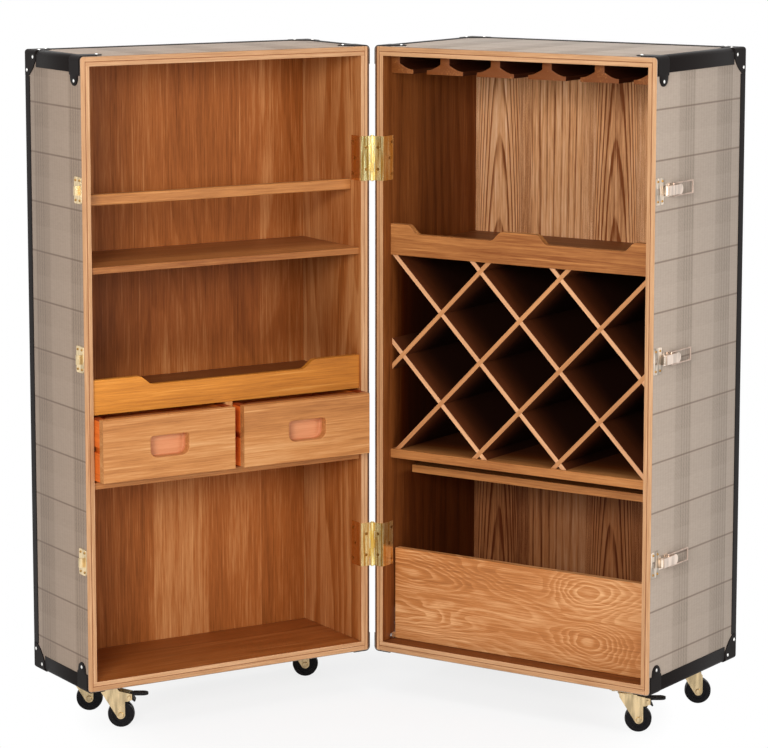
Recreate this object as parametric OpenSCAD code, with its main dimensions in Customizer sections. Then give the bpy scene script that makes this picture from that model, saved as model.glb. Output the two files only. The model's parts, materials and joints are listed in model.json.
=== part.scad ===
// Suitcase bar cabinet: two hinged half cases on casters.
// Millimetres, +Z up. The floor is z = 0. The deep half's open front faces -Y.
// The shallow half stands swung open about the vertical hinge line.
// Inside each half a point is given as s (from its hinge side), d (behind its
// front edges) and z (above the underside of the case).

/* [Case] */
// Width of each half across its front
case_w = 600; // [590:1:640]
// Height of the case without its casters
case_h = 1160; // [1150:1:1200]
// Depth of the deep half
deep_d = 340; // [330:1:360]
// Depth of the shallow half
shallow_d = 228; // [224:1:260]
// Thickness of the outer case boards
shell_t = 9; // [8.8:0.1:9.2]
// Thickness of the inner lining boards
lining_t = 8.2; // [8:0.1:8.4]
// Thickness of the woven covering
cover_t = 0.8; // [0.6:0.1:1]
// Radius of the case edges that run front to rear
case_r = 7.2; // [6:0.2:8]
// Small chamfer on front edges
arris = 0.8; // [0.4:0.1:1.2]
// Angle between the two open fronts
opening_angle = 114.72; // [60:1:170]

/* [Shelves of the shallow half] */
// How far shelves sit behind the front edges
shelf_set_back = 7; // [6:0.5:10]
// Top of the bottle rail
rail_top = 908; // [890:1:930]
// Height of the bottle rail
rail_h = 20; // [16:1:30]
// Distance of the bottle rail behind the front edges
rail_d = 36; // [30:1:60]
// Top of the upper shelf
upper_shelf_top = 780; // [700:1:800]
// Thickness of the shelves
shelf_t = 12; // [10:0.5:13]
// Top of the board under the drawers
drawer_board_top = 387; // [380:1:388]
// Bottom of the scooped front rail above the drawers
low_gallery_z = 511; // [511:0.5:516]
// Height of that scooped rail
low_gallery_h = 64; // [55:1:70]

/* [Drawers] */
// Height of a drawer front
drawer_h = 115; // [110:0.5:115.5]
// Thickness of a drawer front
drawer_front_t = 16; // [14:0.5:17]
// How far the drawers are pulled out in front of the case
drawer_out = 34; // [20:1:34]
// Gap between a drawer's end and the wall beside it
drawer_gap = 1.8; // [1.5:0.1:2.4]
// Thickness of the drawer box sides
drawer_side_t = 12; // [11:0.5:13]
// Length of the drawer box behind its front
drawer_len = 192; // [170:1:192]

/* [Wine rack] */
// Underside of the rack floor
rack_floor_z = 374; // [370:1:376]
// Thickness of the rack floor
rack_floor_t = 17; // [15:0.5:17.2]
// Underside of the shelf above the rack
stem_shelf_z = 764.5; // [760:0.5:770]
// Half the diagonal of one bottle cell
cell_half = 86; // [85:0.5:87]
// Height of the rack's middle crossing
rack_mid_z = 574; // [572:0.5:576]
// Thickness of the rack slats
slat_t = 8; // [6:0.5:9]
// Distance of the slats behind the front edges
slat_d = 32.4; // [31.6:0.2:36]
// Height of the scooped rail above the rack
high_gallery_h = 59.5; // [55:0.5:64]

/* [Stemware] */
// Distance between neighbouring stem slots
stem_pitch = 110; // [108:0.5:111]
// Width of a stem slot
stem_slot = 30; // [26:0.5:34]
// Drop from the top of the case to the underside of the stem rails
stem_rail_drop = 52; // [48:1:60]

/* [Lower deep compartment] */
// Underside of the tray shelf
tray_shelf_z = 333; // [326:1:336]
// Distance of the tray shelf behind the front edges
tray_shelf_d = 102; // [80:1:130]
// Top of the drop flap
flap_top = 196; // [150:1:230]
// Distance of the flap behind the front edges
flap_d = 39; // [38.5:0.5:42]

/* [Casters] */
// Height from the floor to the underside of the case
caster_h = 82; // [80:0.5:86]
// Radius of a wheel
wheel_r = 25; // [23:0.5:25.5]
// Distance of the wheel axle from the swivel axis
caster_trail = 22; // [20:0.5:24]

/* [Hinges and latches] */
// Distance from each hinge-side wall to the hinge line
side_gap = 5; // [4.8:0.1:6]
// Distance from each front plane to the hinge line
front_gap = 2; // [1.9:0.1:2.4]
// Thickness of the hinge leaves
leaf_t = 1.6; // [1.4:0.1:1.7]
// Length of a hinge
hinge_len = 84; // [76:1:90]
// Length of a latch's wire bail
bail_len = 72; // [70:0.5:74]

/* [Hidden] */
$fn = 48;
swing = 180 - opening_angle;
wall = cover_t + shell_t + lining_t;
seam = cover_t + shell_t;
back_t = 10;
back_shell_t = 4;
// Hairline between neighbouring boards of one case.
glue_gap = 0.2;
in_w = case_w - 2 * wall;
mid_s = case_w / 2;
stem_rail_z = case_h - stem_rail_drop;
// Length of cuts that go right through a small piece.
through = 40;

edging_t = 1.2;
edging_band = 29;
edging_top = 20;
cap_t = 1.8;
edging_gap = 0.3;
cap_arm = 47;
cap_front_d = 42;
cap_start = 0.5;
cap_band = edging_band + 5;
cap_tab_r = 15;
cap_tab_reach = 38;
cap_tab_mid = 23;
rivet_r = 3.2;
rivet_h = 1.2;
rivet_shank_r = 1.5;
rivet_ball_r = (rivet_r * rivet_r + rivet_h * rivet_h) / (2 * rivet_h);

// The frame's origin is on the floor under the middle of the opened cabinet.
proud = cap_t + rivet_h;
latch_h = 10.5;
catch_h = 10.2;
x_far = side_gap + case_w + latch_h;
x_near = -(side_gap + case_w + cap_t) * cos(swing) - (front_gap + shallow_d + cap_t) * sin(swing);
y_far = front_gap + deep_d + proud;
y_near = -(side_gap + case_w + catch_h) * sin(swing) + (front_gap + 12) * cos(swing);
hinge_x = -(x_far + x_near) / 2;
hinge_y = -(y_far + y_near) / 2;

hinge_low_z = 208;
hinge_high_z = case_h - 211;
barrel_r = 4.2;
pin_r = 2.25;
run_fit = 0.05;
knuckles = 5;
knuckle_gap = 0.3;
inner_leaf_d = 33;
screw_head_r = 3.2;
screw_r = 1.4;
screw_fit = 0.05;
front_screw_s = 7.8;
front_screw_z = 20.5;
front_screw_len = 14;
inner_screw_d = [28, 21, 28];
inner_screw_z = [-30, 0, 30];
inner_screw_len = 8.5;

lever_pin_r = 1.5;
ear_r = 3.5;
ear_half = 6.9;
plate_start = 0.5;
plate_corner = 3;
plate_hole_half = 6;
plate_screw_r = 1.2;
tongue_half = 12;
latch_z = [242, case_h / 2 + 35, case_h - 239];
plate_t = 1.5;
plate_half = 24;
plate_d = 28;
lever_pivot_d = 31;
lever_pivot_h = 5.5;
bail_pivot_d = 56;
bail_pivot_h = 6;
bail_r = 1.5;
bail_half = 11.4;
lever_half = 8.8;
lever_sheet = 1.5;
lever_end_d = 74;
lever_end_r = 9.5;
hook_d = bail_len - bail_pivot_d - 2 * front_gap;
hook_inner_r = 2;
hook_outer_r = catch_h - bail_pivot_h;

plate_z = 2.5;
axle_z = wheel_r - caster_h;
swivel_s = case_w - 64;
swivel_hinge_s = 66;
deep_front_d = 30;
deep_rear_d = 262;
shallow_front_d = 44;
shallow_rear_d = 176;
// Every wheel trails towards the same side, as after rolling the cabinet.
deep_trail = 33.86;
shallow_trail = 180 + 31.42;
brake_pivot_x = 38;
brake_pivot_z = -24;

flap_pivot_d = 29;
flap_pivot_z = 24.5;
flap_t = 15;
bracket_t = 2;
flap_end_gap = 2.6;
flap_pin_r = 2.5;
flap_pin_set = 6;
bracket_r = 6;
bracket_h = 60;
bracket_gap = 0.5;

drawer_z = drawer_board_top + 5.5;
drawer_mid_z = drawer_z + drawer_h / 2;
groove_h = 11;
groove_deep = 7.4;
runner_gap = 0.5;
divider_half = 7.5;
drawer_w = (in_w - 2 * divider_half) / 2 - 2 * drawer_gap;
inner_drawer_s = wall + drawer_gap;
outer_drawer_s = mid_s + divider_half + drawer_gap;
pull_half_w = 39.5;
pull_half_h = 20;
pocket = 8;

oak = [0.80, 0.57, 0.35];
oak_dark = [0.60, 0.36, 0.18];
orange_wood = [0.80, 0.42, 0.15];
cloth = [0.68, 0.63, 0.57];
black = [0.09, 0.09, 0.10];
brass = [0.83, 0.66, 0.30];
pale_gold = [0.84, 0.74, 0.55];
steel = [0.80, 0.80, 0.80];

// Placing helpers
module in_deep() {
    translate([hinge_x + side_gap, hinge_y + front_gap, caster_h]) children();
}

module in_shallow() {
    translate([hinge_x, hinge_y, caster_h]) rotate([0, 0, swing]) mirror([1, 0, 0])
        translate([side_gap, front_gap, 0]) children();
}

// The outline's axes are d and z; it runs from s0 to s1.
module along_s(s0, s1) {
    translate([s0, 0, 0]) rotate([90, 0, 90]) linear_extrude(s1 - s0) children();
}

// The outline's axes are s and z; it runs from d0 to d1.
module along_d(d0, d1) {
    translate([0, d1, 0]) rotate([90, 0, 0]) linear_extrude(d1 - d0) children();
}

module along_z(z0, z1) {
    translate([0, 0, z0]) linear_extrude(z1 - z0) children();
}

module round_rect_2d(x0, x1, y0, y1, r) {
    translate([x0 + r, y0]) square([x1 - x0 - 2 * r, y1 - y0]);
    translate([x0, y0 + r]) square([x1 - x0, y1 - y0 - 2 * r]);
    for (x = [x0 + r, x1 - r])
        for (y = [y0 + r, y1 - r])
            translate([x, y]) circle(r);
}

// A board seen end on: x is its thickness, y runs back from the front edge.
module upright_2d(s0, s1, depth) {
    polygon([
        [s0 + arris, 0], [s1 - arris, 0], [s1, arris],
        [s1, depth], [s0, depth], [s0, arris]
    ]);
}

module shelf_2d(d0, d1, z0, z1) {
    polygon([
        [d0 + arris, z0], [d1, z0], [d1, z1],
        [d0 + arris, z1], [d0, z1 - arris], [d0, z0 + arris]
    ]);
}

// Case boards
module back_2d() {
    inset = seam + glue_gap;
    translate([inset, inset]) square([case_w - 2 * inset, case_h - 2 * inset]);
}

// The case outline from the front; grow is measured from the covering's face.
module case_2d(grow) {
    round_rect_2d(-grow, case_w + grow, -grow, case_h + grow, case_r + grow);
}

module shell(depth) {
    body = depth - cover_t;
    for (s0 = [cover_t, case_w - seam])
        intersection() {
            along_z(cover_t, case_h - cover_t) upright_2d(s0, s0 + shell_t, body);
            along_d(-1, depth) case_2d(-cover_t);
        }
    for (z0 = [cover_t, case_h - seam])
        along_s(seam + glue_gap, case_w - seam - glue_gap) shelf_2d(0, body, z0, z0 + shell_t);
    along_d(depth - cover_t - back_shell_t, body) back_2d();
}

module lining(depth) {
    body = depth - back_t;
    for (s0 = [seam, case_w - wall])
        along_z(wall + glue_gap, case_h - wall - glue_gap) upright_2d(s0, s0 + lining_t, body);
    for (z0 = [seam, case_h - wall])
        along_s(seam, case_w - seam) shelf_2d(0, body, z0, z0 + lining_t);
    along_d(body + glue_gap, depth - cover_t - back_shell_t) back_2d();
}

module covering(depth) {
    difference() {
        along_d(0, depth) case_2d(0);
        along_d(-1, depth - cover_t) case_2d(-cover_t);
    }
}

// Black edging
module edge_angle_2d(side, top, t) {
    translate([0, -side]) square([t, side + t]);
    translate([-top, 0]) square([top + t, t]);
}

// A quarter ring over a rounded case edge, centred case_r inside the corner
module bend_2d(t) {
    translate([-case_r, -case_r]) intersection() {
        difference() {
            circle(case_r + t);
            circle(case_r);
        }
        square(case_r + t);
    }
}

module edge_fold_2d(side, top, t) {
    translate([0, -side]) square([t, side - case_r]);
    translate([-top, 0]) square([top - case_r, t]);
    bend_2d(t);
}

module edging_strips(depth) {
    front_end = cap_front_d + edging_gap;
    cap_end = cap_arm + edging_gap;
    for (far = [0, 1])
        translate([far * case_w, 0, 0]) mirror([1 - far, 0, 0]) {
            along_d(front_end, depth - cap_end)
                translate([0, case_h]) edge_fold_2d(edging_band, edging_top, edging_t);
            along_d(front_end, depth - cap_end)
                mirror([0, 1]) edge_fold_2d(edging_band, edging_top, edging_t);
            along_z(cap_end, case_h - cap_end)
                translate([0, depth]) edge_angle_2d(edging_top, edging_top, edging_t);
        }
    along_s(cap_end, case_w - cap_end)
        translate([depth, case_h]) edge_angle_2d(edging_band, edging_top, edging_t);
    along_s(cap_end, case_w - cap_end)
        translate([depth, 0]) mirror([0, 1]) edge_angle_2d(edging_band, edging_top, edging_t);
}

// Tongue of a front cap: x runs away from the corner edge, y runs back.
module cap_tongue() {
    linear_extrude(cap_t) {
        translate([edging_band, cap_tab_mid - cap_tab_r])
            square([cap_tab_reach - edging_band, 2 * cap_tab_r]);
        translate([cap_tab_reach, cap_tab_mid]) circle(cap_tab_r);
    }
}

module cap_rivet_cut(rivet_at) {
    translate([rivet_at, cap_tab_mid, -1]) cylinder(r = rivet_shank_r, h = cap_t + 2);
}

function front_rivet(tab) = tab ? cap_tab_reach + 6 : 17;

// The corner is at the origin, the case lies towards -x and -z of it.
module front_cap(top_tab) {
    difference() {
        union() {
            along_d(cap_start, cap_front_d) edge_fold_2d(cap_band, cap_band, cap_t);
            rotate([0, 90, 0]) cap_tongue();
            if (top_tab) mirror([1, 0, 0]) cap_tongue();
        }
        rotate([0, 90, 0]) cap_rivet_cut(front_rivet(true));
        mirror([1, 0, 0]) cap_rivet_cut(front_rivet(top_tab));
    }
}

module rear_cap_2d() {
    polygon([
        [-cap_t, -cap_t], [cap_arm, -cap_t], [cap_arm, 16], [38, 29],
        [29, 38], [16, cap_arm], [-cap_t, cap_arm]
    ]);
}

rear_rivets = [[36, 11], [11, 36]];

// x starts where the rounded edge ends, or at the outer face if it is whole.
module rear_cap_plate(x_start) {
    linear_extrude(cap_t) difference() {
        intersection() {
            rear_cap_2d();
            translate([x_start, -cap_t]) square(2 * cap_arm);
        }
        for (p = rear_rivets) translate(p) circle(rivet_shank_r);
    }
}

module rear_face_plate() {
    outer = case_r + cap_t;
    intersection() {
        rear_cap_plate(-cap_t);
        linear_extrude(cap_t) union() {
            translate([case_r, case_r]) circle(outer);
            translate([case_r, -cap_t]) square(2 * cap_arm);
            translate([-cap_t, case_r]) square(2 * cap_arm);
        }
    }
}

// The corner is at the origin, the case lies towards -x, -y and -z of it.
module on_two_sides() {
    rotate([0, 0, 180]) children();
    rotate([0, 90, 0]) rotate([0, 0, 180]) mirror([1, 0, 0]) children();
}

module on_rear_face() {
    rotate([-90, 0, 0]) rotate([0, 0, 180]) mirror([0, 1, 0]) children();
}

module rear_cap() {
    on_two_sides() rear_cap_plate(case_r);
    on_rear_face() rear_face_plate();
    along_d(-cap_arm, cap_t) bend_2d(cap_t);
}

module rear_cap_rivets() {
    for (p = rear_rivets) translate([p[0], p[1], cap_t]) rivet();
}

module rivet() {
    intersection() {
        translate([0, 0, rivet_h - rivet_ball_r]) sphere(rivet_ball_r);
        cylinder(r = rivet_r, h = rivet_h + 1);
    }
    translate([0, 0, -cap_t]) cylinder(r = rivet_shank_r, h = cap_t + 0.4);
}

// Runs its children in each corner: index 0 for the cap, 1 for its rivets.
module at_front_corners() {
    for (far = [0, 1])
        translate([far * case_w, 0, 0]) mirror([1 - far, 0, 0]) {
            translate([0, 0, case_h]) children(0);
            mirror([0, 0, 1]) children(1);
        }
}

module at_rear_corners(depth) {
    for (far = [0, 1])
        translate([far * case_w, depth, 0]) mirror([1 - far, 0, 0]) {
            translate([0, 0, case_h]) children();
            mirror([0, 0, 1]) children();
        }
}

module front_rivets(top_tab) {
    rotate([0, 90, 0]) translate([front_rivet(true), cap_tab_mid, cap_t]) rivet();
    mirror([1, 0, 0]) translate([front_rivet(top_tab), cap_tab_mid, cap_t]) rivet();
}

module edging(depth) {
    edging_strips(depth);
    at_front_corners() {
        front_cap(true);
        front_cap(false);
    }
    at_rear_corners(depth) rear_cap();
}

module rivets(depth) {
    at_front_corners() {
        front_rivets(true);
        front_rivets(false);
    }
    at_rear_corners(depth) {
        on_two_sides() rear_cap_rivets();
        on_rear_face() rear_cap_rivets();
    }
}

// Scooped rails
// One S-shaped step: x0 is where the high line ends, the low line starts
// run further on. The cut lies above the curve.
module s_step_cut_2d(x0, run, high, low) {
    rise = high - low;
    r = (run * run + rise * rise) / (4 * rise);
    difference() {
        translate([x0, high - rise / 2]) square([run / 2, rise / 2 + 1]);
        translate([x0, high - r]) circle(r);
    }
    intersection() {
        translate([x0 + run / 2, low]) square([run / 2 + 0.01, rise + 1]);
        union() {
            translate([x0 + run, low + r]) circle(r);
            translate([x0 + run / 2, high - rise / 2]) square([run / 2 + 0.01, rise]);
        }
    }
}

module scoop_cut_2d(x0, x1, run, high, low) {
    s_step_cut_2d(x0, run, high, low);
    translate([x0 + x1, 0]) mirror([1, 0]) s_step_cut_2d(x0, run, high, low);
    translate([x0 + run, low]) square([x1 - x0 - 2 * run, high - low + 1]);
}

low_scoop_s = 113;
low_scoop_run = 31;
low_scoop_deep = 17;
high_scoop_s = 54;
high_scoop_end = mid_s - 36;
high_scoop_run = 26;
high_scoop_deep = 17.5;
gallery_t = 12;
high_gallery_d = 26.4;
high_gallery_t = 14;

module low_gallery() {
    top = low_gallery_z + low_gallery_h;
    along_d(shelf_set_back, shelf_set_back + gallery_t) difference() {
        translate([wall, low_gallery_z]) square([in_w, low_gallery_h]);
        scoop_cut_2d(low_scoop_s, case_w - low_scoop_s, low_scoop_run, top, top - low_scoop_deep);
    }
}

module high_gallery() {
    top = stem_shelf_z + high_gallery_h;
    along_d(high_gallery_d, high_gallery_d + high_gallery_t) difference() {
        translate([wall, stem_shelf_z]) square([in_w, high_gallery_h]);
        for (flip = [0, 1])
            translate([flip * case_w, 0]) mirror([flip, 0])
                scoop_cut_2d(high_scoop_s, high_scoop_end, high_scoop_run, top, top - high_scoop_deep);
    }
}

// Shelves of the shallow half
shallow_in_d = shallow_d - back_t;
deep_in_d = deep_d - back_t;
low_shelf_top = low_gallery_z + 24;
low_shelf_t = 15;
rail_t = 14;

module bottle_bar() {
    along_s(wall, case_w - wall) polygon([
        [rail_d + arris, rail_top - rail_h], [rail_d + rail_t, rail_top - rail_h],
        [rail_d + rail_t, rail_top - arris], [rail_d + rail_t - arris, rail_top],
        [rail_d + arris, rail_top], [rail_d, rail_top - arris],
        [rail_d, rail_top - rail_h + arris]
    ]);
}

module plain_shelf(d0, d1, z0, z1) {
    along_s(wall, case_w - wall) shelf_2d(d0, d1, z0, z1);
}

module divider() {
    front = shelf_set_back;
    along_s(mid_s - divider_half, mid_s + divider_half) polygon([
        [front, drawer_board_top], [shallow_in_d, drawer_board_top],
        [shallow_in_d, low_shelf_top - low_shelf_t],
        [front + gallery_t, low_shelf_top - low_shelf_t],
        [front + gallery_t, low_gallery_z], [front, low_gallery_z]
    ]);
}

runner_t = drawer_gap + groove_deep - 1;
runner_d0 = shelf_set_back + drawer_front_t + 6;

module runners() {
    half = groove_h / 2 - runner_gap;
    starts = [wall, mid_s - divider_half - runner_t, mid_s + divider_half, case_w - wall - runner_t];
    for (s0 = starts)
        translate([s0, runner_d0, drawer_mid_z - half])
            cube([runner_t, shallow_in_d - runner_d0, 2 * half]);
}

// Drawers
module pull_2d() {
    low_r = 15;
    top_r = 4;
    translate([-pull_half_w, low_r - pull_half_h])
        square([2 * pull_half_w, 2 * pull_half_h - low_r - top_r]);
    translate([low_r - pull_half_w, -pull_half_h])
        square([2 * (pull_half_w - low_r), low_r + 0.01]);
    translate([top_r - pull_half_w, pull_half_h - top_r - 0.01])
        square([2 * (pull_half_w - top_r), top_r + 0.01]);
    for (side = [-1, 1]) {
        translate([side * (pull_half_w - low_r), low_r - pull_half_h]) circle(low_r);
        translate([side * (pull_half_w - top_r), pull_half_h - top_r]) circle(top_r);
    }
}

module drawer_face(s0) {
    along_d(-drawer_out, drawer_front_t - drawer_out) difference() {
        translate([s0, drawer_z]) square([drawer_w, drawer_h]);
        translate([s0 + drawer_w / 2, drawer_mid_z]) pull_2d();
    }
}

module drawer_side(s0, outward) {
    back_d = drawer_front_t - drawer_out;
    cut_s = outward ? s0 + drawer_side_t - groove_deep : s0 - 1;
    difference() {
        translate([s0, back_d, drawer_z]) cube([drawer_side_t, drawer_len, drawer_h]);
        translate([cut_s, back_d + 5, drawer_mid_z - groove_h / 2])
            cube([groove_deep + 1, drawer_len, groove_h]);
    }
}

module drawer_tub(s0) {
    back_d = drawer_front_t - drawer_out;
    inner_s = s0 + drawer_side_t + glue_gap;
    inner_w = drawer_w - 2 * drawer_side_t - 2 * glue_gap;
    drawer_side(s0, false);
    drawer_side(s0 + drawer_w - drawer_side_t, true);
    difference() {
        translate([inner_s, back_d, drawer_z]) cube([inner_w, drawer_side_t, drawer_h]);
        along_d(back_d - 1, back_d + pocket)
            translate([s0 + drawer_w / 2, drawer_mid_z]) pull_2d();
    }
    translate([inner_s, back_d + drawer_len - drawer_side_t, drawer_z])
        cube([inner_w, drawer_side_t, drawer_h]);
    translate([inner_s, back_d + drawer_side_t + glue_gap, drawer_z + 4])
        cube([inner_w, drawer_len - 2 * drawer_side_t - 2 * glue_gap, 5]);
}

// Wine rack
rack_bottom = rack_floor_z + rack_floor_t;
// Longer than any slat before the rack's frame cuts it.
slat_reach = case_h;

module rack_box_2d() {
    translate([wall, rack_bottom]) square([in_w, stem_shelf_z - rack_bottom]);
}

// Slats run along one diagonal; lean is 1 for rising, -1 for falling.
module slat_2d(k, lean) {
    intersection() {
        rack_box_2d();
        translate([mid_s + cell_half * (2 * k + 1), rack_mid_z]) rotate([0, 0, 45 * lean])
            translate([-slat_reach / 2, -slat_t / 2]) square([slat_reach, slat_t]);
    }
}

slat_mid_d = (slat_d + deep_in_d) / 2;

// The cut that lets slat m of the other lean pass through slat k.
module crossing_2d(k, m, lean) {
    translate([mid_s + cell_half * (k + m + 1), rack_mid_z + lean * cell_half * (m - k)])
        rotate([0, 0, -45 * lean])
            translate([-slat_t, -slat_t / 2]) square([2 * slat_t, slat_t]);
}

module slats(lean) {
    notch_d0 = lean > 0 ? slat_mid_d : slat_d - 1;
    notch_d1 = lean > 0 ? deep_in_d + 1 : slat_mid_d;
    for (k = [-2 : 1])
        difference() {
            along_d(slat_d, deep_in_d) slat_2d(k, lean);
            for (m = [-2 : 1])
                along_d(notch_d0, notch_d1) crossing_2d(k, m, lean);
        }
}

// Stemware rails
module stem_rail_2d(web_half) {
    flange_half = (stem_pitch - stem_slot) / 2;
    top = case_h - wall;
    polygon([
        [-flange_half, stem_rail_z], [flange_half, stem_rail_z],
        [flange_half, stem_rail_z + 8], [web_half, stem_rail_z + 17],
        [web_half, top], [-web_half, top],
        [-web_half, stem_rail_z + 17], [-flange_half, stem_rail_z + 8]
    ]);
}

module stem_rails() {
    rail_front_d = 31.5;
    along_d(rail_front_d, deep_in_d) {
        for (k = [-1.5 : 1 : 1.5])
            translate([mid_s + k * stem_pitch, 0]) stem_rail_2d(10);
        for (flip = [0, 1])
            translate([flip * case_w, 0]) mirror([flip, 0]) intersection() {
                translate([mid_s - 2.5 * stem_pitch, 0]) stem_rail_2d(10);
                translate([wall, 0]) square([in_w, case_h]);
            }
    }
}

// Drop flap
module flap_panel() {
    along_s(wall + flap_end_gap, case_w - wall - flap_end_gap) polygon([
        [flap_d, wall + 0.4 + arris], [flap_d + arris, wall + 0.4],
        [flap_d + flap_t, wall + 0.4], [flap_d + flap_t, flap_top - arris],
        [flap_d + flap_t - arris, flap_top], [flap_d + arris, flap_top],
        [flap_d, flap_top - arris]
    ]);
}

module flap_end_plates() {
    r = bracket_r;
    arm = flap_d + flap_t - flap_pivot_d;
    for (s0 = [wall + bracket_gap, case_w - wall - bracket_gap - bracket_t])
        along_s(s0, s0 + bracket_t) difference() {
            union() {
                translate([flap_pivot_d, flap_pivot_z]) circle(r);
                translate([flap_pivot_d, flap_pivot_z - r]) square([arm, 2 * r]);
                translate([flap_d + arris, flap_pivot_z - r]) square([flap_t - arris, bracket_h]);
            }
            translate([flap_pivot_d, flap_pivot_z]) circle(flap_pin_r + run_fit);
        }
}

module at_flap_ends() {
    for (flip = [0, 1])
        translate([flip * case_w, 0, 0]) mirror([flip, 0, 0])
            translate([wall, flap_pivot_d, flap_pivot_z]) rotate([0, 90, 0]) children();
}

module flap_pin_hole() {
    translate([0, 0, -flap_pin_set]) cylinder(r = flap_pin_r, h = flap_pin_set + 0.01);
}

module flap_pin() {
    head_z = bracket_gap + bracket_t + 0.3;
    head_r = 4.5;
    head_h = 2.6;
    slot_deep = 0.8;
    translate([0, 0, -flap_pin_set]) cylinder(r = flap_pin_r, h = flap_pin_set + head_z + 0.2);
    difference() {
        translate([0, 0, head_z]) cylinder(r = head_r, h = head_h);
        translate([-head_r, -0.5, head_z + head_h - slot_deep]) cube([2 * head_r, 1, 2]);
    }
}

// Screws, head up, top of the head at the origin
module wood_screw(len) {
    difference() {
        union() {
            translate([0, 0, -leaf_t]) cylinder(r1 = screw_r, r2 = screw_head_r, h = leaf_t);
            translate([0, 0, -len]) cylinder(r = screw_r, h = len - leaf_t + 0.01);
        }
        for (a = [0, 90]) rotate([0, 0, a])
            translate([-2, -0.4, -0.7]) cube([4, 0.8, 1]);
    }
}

module screw_seat() {
    translate([0, 0, -leaf_t - 0.01])
        cylinder(r1 = screw_r + screw_fit, r2 = screw_head_r + screw_fit, h = leaf_t + 0.02);
}

module screw_bore(len) {
    translate([0, 0, -len]) cylinder(r = screw_r, h = len);
}

module at_hinge_screws(front) {
    for (zc = [hinge_low_z, hinge_high_z])
        if (front)
            for (side = [-1, 1])
                translate([front_screw_s, -leaf_t, zc + side * front_screw_z])
                    rotate([90, 0, 0]) children();
        else
            for (i = [0 : 2])
                translate([wall + leaf_t, inner_screw_d[i], zc + inner_screw_z[i]])
                    rotate([0, 90, 0]) children();
}

// Small round-headed screws of latches, catches and caster plates
module pan_screw(r, h, t) {
    difference() {
        cylinder(r1 = r, r2 = r - 0.5, h = h);
        for (a = [0, 90]) rotate([0, 0, a])
            translate([-r * 0.6, -0.35, h - 0.6]) cube([r * 1.2, 0.7, 1]);
    }
    translate([0, 0, -t]) cylinder(r = r / 2, h = t + 0.01);
}

plate_screws = [[6, -18], [6, 18], [22, -18], [22, 18]];

module at_plate_screws() {
    for (zc = latch_z)
        for (p = plate_screws)
            translate([case_w + plate_t, p[0], zc + p[1]]) rotate([0, 90, 0]) children();
}

caster_screw = 17;
caster_screw_r = 4.4;
plate_hole_r = caster_screw_r / 2 + 0.1;

module at_caster_screws(places) {
    for (p = places)
        for (x = [-caster_screw, caster_screw])
            for (y = [-caster_screw, caster_screw])
                translate([p[0] + x, p[1] + y, -plate_z]) mirror([0, 0, 1]) children();
}

module all_screws(places) {
    at_hinge_screws(true) wood_screw(front_screw_len);
    at_hinge_screws(false) wood_screw(inner_screw_len);
    at_plate_screws() pan_screw(2 * plate_screw_r, 1.3, plate_t);
    at_caster_screws(places) pan_screw(caster_screw_r, 2.2, plate_z);
}

// Hinges
module knuckle(zc, k) {
    pitch = hinge_len / knuckles;
    z0 = zc - hinge_len / 2 + k * pitch + knuckle_gap / 2;
    along_z(z0, z0 + pitch - knuckle_gap) {
        translate([-side_gap, -front_gap]) circle(barrel_r);
        translate([-side_gap, -leaf_t]) square([side_gap + 1, leaf_t]);
    }
}

module hinge_leaf(zc, own) {
    difference() {
        union() {
            along_z(zc - hinge_len / 2, zc + hinge_len / 2) {
                translate([0, -leaf_t]) square([wall + leaf_t, leaf_t]);
                translate([wall, -leaf_t]) square([leaf_t, inner_leaf_d + leaf_t]);
            }
            for (k = own) knuckle(zc, k);
        }
        translate([-side_gap, -front_gap, zc - hinge_len])
            cylinder(r = pin_r + run_fit, h = 2 * hinge_len);
    }
}

module hinge_leaves(own) {
    difference() {
        for (zc = [hinge_low_z, hinge_high_z]) hinge_leaf(zc, own);
        at_hinge_screws(true) screw_seat();
        at_hinge_screws(false) screw_seat();
    }
}

module hinge_rods() {
    head = 1.4;
    for (zc = [hinge_low_z, hinge_high_z])
        translate([-side_gap, -front_gap, zc - hinge_len / 2 - head]) {
            cylinder(r = pin_r, h = hinge_len + 2 * head);
            cylinder(r1 = 2.6, r2 = 3.4, h = head);
            translate([0, 0, hinge_len + head]) cylinder(r1 = 3.4, r2 = 2.6, h = head);
        }
}

// Latches: x points out of the side, y runs back, z is along the hinge line
module on_side(zc) {
    translate([case_w, 0, zc]) children();
}

module latch_base() {
    difference() {
        union() {
            along_s(0, plate_t) {
                round_rect_2d(plate_start, plate_d, -plate_half, plate_half, plate_corner);
                round_rect_2d(
                    plate_d - 2 * plate_corner, bail_pivot_d + 2 * plate_corner,
                    -tongue_half, tongue_half, plate_corner
                );
            }
            translate([lever_pivot_h, lever_pivot_d, -ear_half]) cylinder(r = ear_r, h = 2 * ear_half);
            translate([plate_t - 0.5, lever_pivot_d - ear_r + 1, -ear_half])
                cube([lever_pivot_h - plate_t + 0.5, 2 * (ear_r - 1), 2 * ear_half]);
        }
        lever_pin_cut();
        along_s(-1, plate_t + 1) translate([plate_corner, -plate_hole_half])
            square([1.5 * plate_hole_half, 2 * plate_hole_half]);
        plate_screw_cuts();
    }
    translate([lever_pivot_h, lever_pivot_d, -lever_half - 0.2])
        cylinder(r = lever_pin_r, h = 2 * lever_half + 0.4);
}

module lever_pin_cut() {
    translate([lever_pivot_h, lever_pivot_d, -through / 2])
        cylinder(r = lever_pin_r + run_fit, h = through);
}

module plate_screw_cuts() {
    for (p = plate_screws)
        translate([-1, p[0], p[1]]) rotate([0, 90, 0]) cylinder(r = plate_screw_r, h = plate_t + 2);
}

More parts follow.
